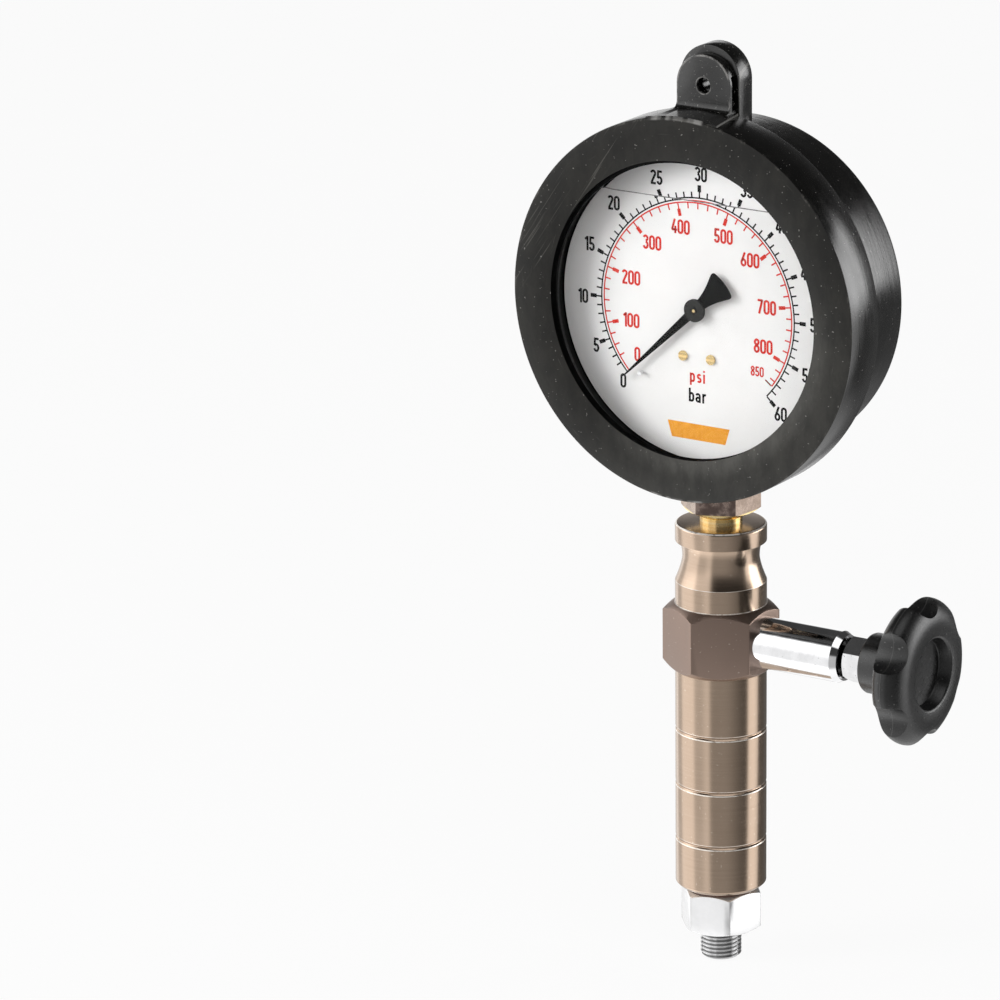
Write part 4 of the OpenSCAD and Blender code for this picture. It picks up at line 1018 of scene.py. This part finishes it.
# The figures' strokes, in a box one high
BOWL = bow((0.218, 0.46), (0.143, 0.165), 150, 0) + bow((0.218, 0.24), (0.143, 0.165), 0, -150)
FIGURES = {
    "0": [bow((0.23, 0.755), (0.155, 0.17), 180, 0) + bow((0.23, 0.245), (0.155, 0.17), 0, -180) + [(0.075, 0.755)]],
    "1": [[(0.25, 0.0), (0.25, 1.0)], [(0.26, 0.95), (0.06, 0.77)]],
    "2": [bow((0.23, 0.755), (0.155, 0.17), 170, -28) + [(0.10, 0.11)], [(0.04, 0.075), (0.44, 0.075)]],
    "3": [bow((0.225, 0.755), (0.15, 0.17), 165, -90), bow((0.225, 0.29), (0.16, 0.215), 90, -165)],
    "4": [[(0.29, 1.0), (0.08, 0.26)], [(0.04, 0.255), (0.47, 0.255)], [(0.33, 0.52), (0.33, 0.0)]],
    "5": [[(0.42, 0.925), (0.05, 0.925)], [(0.12, 0.95), (0.10, 0.46)],
          bow((0.225, 0.305), (0.16, 0.23), 140, -165)],
    "6": [bow((0.23, 0.285), (0.155, 0.21), 0, 360), [(0.33, 0.99), (0.105, 0.38)]],
    "7": [[(0.03, 0.925), (0.43, 0.925)], [(0.39, 0.95), (0.15, 0.0)]],
    "8": [bow((0.23, 0.755), (0.145, 0.17), 0, 360), bow((0.23, 0.285), (0.16, 0.21), 0, 360)],
    "b": [[(0.075, 0.0), (0.075, 1.0)], BOWL],
    "p": [[(0.075, -0.24), (0.075, 0.7)], BOWL],
    "a": [bow((0.205, 0.47), (0.145, 0.155), 160, 0) + [(0.35, 0.0)], bow((0.215, 0.225), (0.14, 0.15), 0, 360)],
    "r": [[(0.075, 0.0), (0.075, 0.7)], bow((0.235, 0.46), (0.16, 0.165), 180, 65)],
    "s": [bow((0.19, 0.49), (0.12, 0.135), 30, 270) + bow((0.19, 0.215), (0.125, 0.14), 90, -150)],
    "i": [[(0.075, 0.0), (0.075, 0.7)], [(0.075, 0.84), (0.075, 0.99)]]}
SET_WIDTHS = {"1": 0.36, "b": 0.545, "a": 0.56, "r": 0.35, "p": 0.61, "s": 0.535, "i": 0.15}


def drawn_stroke(points, width):
    """One flat stroke of a figure: a strip of squares laid along its points."""
    count = len(points)
    bpy.ops.mesh.primitive_grid_add(x_subdivisions=count - 1, y_subdivisions=1, size=1)
    stroke = named("stroke")
    closed = (Vector(points[0]) - Vector(points[-1])).length < 0.001
    for index in range(count):
        before = points[index - 1] if index else points[-2] if closed else points[0]
        after = points[index + 1] if index < count - 1 else points[1] if closed else points[-1]
        along = (Vector(after) - Vector(before)).normalized()
        side = Vector((-along.y, along.x)) * width / 2
        here = Vector(points[index])
        stroke.data.vertices[index].co = (*(here + side), 0)
        stroke.data.vertices[index + count].co = (*(here - side), 0)
    return stroke


def draw_figures(width):
    figures = {}
    for figure, strokes in FIGURES.items():
        figures[figure] = join_all("figure", [drawn_stroke(points, width) for points in strokes])
    return figures


def print_number(number, height, place, figures):
    """A number set from copies of the drawn figures, upright and centred on its place."""
    widths = [SET_WIDTHS.get(figure, 0.5) for figure in number]
    left = -sum(widths) / 2
    copies = []
    for figure, width in zip(number, widths):
        piece = figures[figure].copy()
        piece.data = figures[figure].data.copy()
        bpy.context.collection.objects.link(piece)
        for corner in piece.data.vertices:
            right, up = (left + 0.02 + corner.co.x) * height, (corner.co.y - 0.5) * height
            corner.co = (place.x + right, place.y, place.z + up)
        left += width
        copies.append(piece)
    return copies


def thickened(name, flats):
    """Flat figures joined and given the ink's thickness."""
    ink = join_all(name, flats)
    extruded(ink, (0, PRINT_LIFT / 2, 0))
    clean_shell(ink)
    return ink


def printed(name, parts, ink):
    scale = join_all(name, parts)
    scale.data.materials.clear()
    scale.data.materials.append(ink)
    return scale


def model_dial_print():
    """Two scales with their numbers, and the plain orange field below them."""
    figures = draw_figures(0.16)
    number_height = 0.0046
    unused = ZERO_ANGLE - REST_ANGLE
    bar_5 = (ZERO_ANGLE - 5 * BAR_STEP, 5 * BAR_STEP, 12)
    bar_parts = [print_line("bar_line", 0.03475, 0.00046, REST_ANGLE, 60 * BAR_STEP - unused),
                 print_marks("bar_ticks", 0.03498, 0.03665, 0.00050, ZERO_ANGLE - 2 * BAR_STEP, BAR_STEP, 59),
                 print_marks("bar_blocks", 0.03665, 0.03885, 0.00125, *bar_5)]
    # How far each number stands to the right of its place and above it, in millimetres
    aside = {0: (-0.3, 0.9), 5: (0.0, -0.6), 10: (0.6, -0.6), 15: (0.2, 0.3), 20: (0.2, 0.6), 25: (0.7, 0.6),
             30: (0.6, 0.0), 45: (0.3, 0.0), 50: (0.2, 0.0), 55: (0.4, 0.0), 60: (-0.4, 0.2)}
    numbers = []
    for bar in range(0, 61, 5):
        radius = {0: 0.0384, 5: 0.0402}.get(bar, 0.0423)
        right, up = aside.get(bar, (0.8, 0.0))
        place = on_dial(radius, ZERO_ANGLE - BAR_STEP * bar) + Vector((right, 0, up)) / 1000
        numbers += print_number(str(bar), number_height, place, figures)
    numbers += print_number("bar", 0.0044, on_dial(0.0277, -90.0) + Vector((0.0001, 0, 0)), figures)
    bar_parts.append(thickened("bar_numbers", numbers))
    bar_scale = printed("bar_scale", bar_parts, printed_ink("black_ink", (0.004, 0.004, 0.004), (0.008, 0.008, 0.008)))

    psi_100 = (ZERO_ANGLE - 100 * PSI_STEP, 100 * PSI_STEP, 8)
    # The last mark stands alone, so its row has next to no step
    psi_parts = [print_line("psi_line", 0.03385, 0.00044, REST_ANGLE, 850 * PSI_STEP - unused),
                 print_marks("psi_ticks", 0.03190, 0.03363, 0.00046, ZERO_ANGLE - 40 * PSI_STEP, 20 * PSI_STEP, 41),
                 print_marks("psi_blocks", 0.02960, 0.03190, 0.00115, *psi_100),
                 print_marks("psi_last", 0.03100, 0.03363, 0.00046, ZERO_ANGLE - 850 * PSI_STEP, 0.01, 2)]
    aside = {0: (-1.86, 3.2), 100: (0.8, -0.2), 200: (0.7, -0.2), 300: (1.2, 0.3), 400: (-0.7, 0.4), 500: (1.0, 0.2),
             600: (-0.8, 1.8), 700: (-0.5, 0.2), 800: (-0.1, 1.2)}
    numbers = []
    for psi in range(0, 801, 100):
        right, up = aside[psi]
        place = on_dial(0.0287 if psi == 0 else 0.0257, ZERO_ANGLE - PSI_STEP * psi) + Vector((right, 0, up)) / 1000
        numbers += print_number(str(psi), number_height, place, figures)
    numbers += print_number("850", 0.0032, on_dial(0.0276, -37.8) + Vector((-0.0002, 0, 0.0002)), figures)
    numbers += print_number("psi", 0.0042, on_dial(0.0214, -90.0), figures)
    psi_parts.append(thickened("psi_numbers", numbers))
    for figure in figures.values():
        bpy.data.objects.remove(figure)
    psi_scale = printed("psi_scale", psi_parts, printed_ink("red_ink", (0.62, 0.03, 0.02), (0.72, 0.045, 0.03)))

    field_x, field_z = 0.0005, PIVOT_Z - 0.0395
    field = block("orange_field", (field_x, -DIAL_FACE - PRINT_LIFT, field_z), (0.0225, PRINT_LIFT, 0.0052))
    for corner in field.data.vertices:
        if corner.co.z < field_z:
            corner.co.x = field_x + (corner.co.x - field_x) * 0.86
    on_mesh(field, bpy.ops.mesh.bevel, offset=0.00001, segments=1)
    field.data.materials.append(printed_ink("orange_ink", (0.82, 0.33, 0.03), (0.9, 0.4, 0.05)))
    for piece in (bar_scale, psi_scale, field):
        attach(piece, "tester")


def model_liquid():
    """The damping liquid between dial and window, filled to a level above the pointer's axis, and a grey line painted
    at its level as the meniscus's shade.
    """
    back, front, radius, top = 0.01025, 0.01675, 0.0495, PIVOT_Z + LIQUID_LEVEL
    outline = [(0, back), (radius, back), (radius, 0.01475), (radius, front), (0, front)]
    liquid = turned_about_front("liquid", outline, PIVOT_Z, 128)
    on_mesh(liquid, bpy.ops.mesh.bisect, plane_co=(0, 0, top), plane_no=(0, 0, 1), use_fill=True, clear_outer=True)
    finished(liquid, 25, clear_front("damping_liquid", (0.998, 0.998, 0.992), 1.47, 0.02),
             clear_front("liquid_top", (1.0, 1.0, 1.0), 1.0, 0.0))
    for face in liquid.data.polygons:
        if face.normal.z > 0.9 and face.center.z > top - 0.0001:
            face.material_index = 1
    # Painted shade: a grey strip along the level where the meniscus shows dark
    half = 0.0332
    level = block("meniscus_painted_shade", (0, -0.01670, top), (2 * half, 0.00008, 0.00032))
    on_mesh(level, bpy.ops.mesh.subdivide, number_cuts=12)
    for corner in level.data.vertices:
        share = abs(corner.co.x) / half
        corner.co.z += 0.0004 * max(0.0, share - 0.86) / 0.14
    level.data.materials.append(printed_ink("meniscus_shade_grey", (0.12, 0.115, 0.115), (0.3, 0.29, 0.29)))
    for piece in (liquid, level):
        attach(piece, "tester")


def dress_nodes(chrome, bronze):
    brass = turned_metal("turned_brass", (0.68, 0.5, 0.23), (0.8, 0.62, 0.32), 0.26)
    steel = turned_metal("turned_steel", (0.52, 0.52, 0.53), (0.64, 0.64, 0.65), 0.24)
    copper = turned_metal("rolled_copper", (0.66, 0.36, 0.22), (0.78, 0.46, 0.3), 0.28, 700)
    dark_steel = turned_metal("dark_steel", (0.05, 0.05, 0.052), (0.09, 0.09, 0.092), 0.3, 1800, "X")
    lacquer = soft_part("case_lacquer", (0.003, 0.003, 0.003), (0.008, 0.008, 0.008), 0.4, 900.0, 0.06)
    seal = soft_part("seal_rubber", (0.003, 0.003, 0.003), (0.008, 0.008, 0.008), 0.6, 1500.0)
    fibre = soft_part("seal_fibre", (0.16, 0.07, 0.05), (0.26, 0.12, 0.09), 0.75, 1800.0)
    finishes = {"body_bronze": bronze, "chrome": chrome, "steel": steel, "case_black": lacquer, "brass": brass,
                "boot_rubber": seal, "seal_rubber": seal, "seal_fibre": fibre, "copper": copper,
                "knob_plastic": lacquer, "window": clear_front("window_glass", (1.0, 1.0, 1.0), 1.5, 0.08),
                "dial_white": dial_enamel(), "pointer_black": lacquer}
    own = {"gauge_socket": stem_brass(), "stop_pin": chrome, "valve_bonnet": bonnet_chrome(),
           "valve_spindle": dark_steel, "pinion_arbor": arbor_brass()}
    for part in frame["record"]["subparts"]:
        node = frame["nodes"][part["node"]]
        node.data.materials.clear()
        node.data.materials.append(own.get(part["node"], finishes[part["material_slot"]]))


place_camera()
studio_world(0.42)
softbox("key_softbox", -30, 40, 1.3, 0.8, 0.8, 3.5)
softbox("left_softbox", -132, 16, 1.4, 0.6, 0.7, 10.0)
pale_floor()
chrome_plate = bright_chrome()
bronze_skin = barrel_bronze()
dress_nodes(chrome_plate, bronze_skin)
model_barrel(bronze_skin)
model_boot()
model_inlet(inlet_plate())
model_knob()
model_spring()
model_tube()
model_pointer()
model_dial_print()
model_liquid()
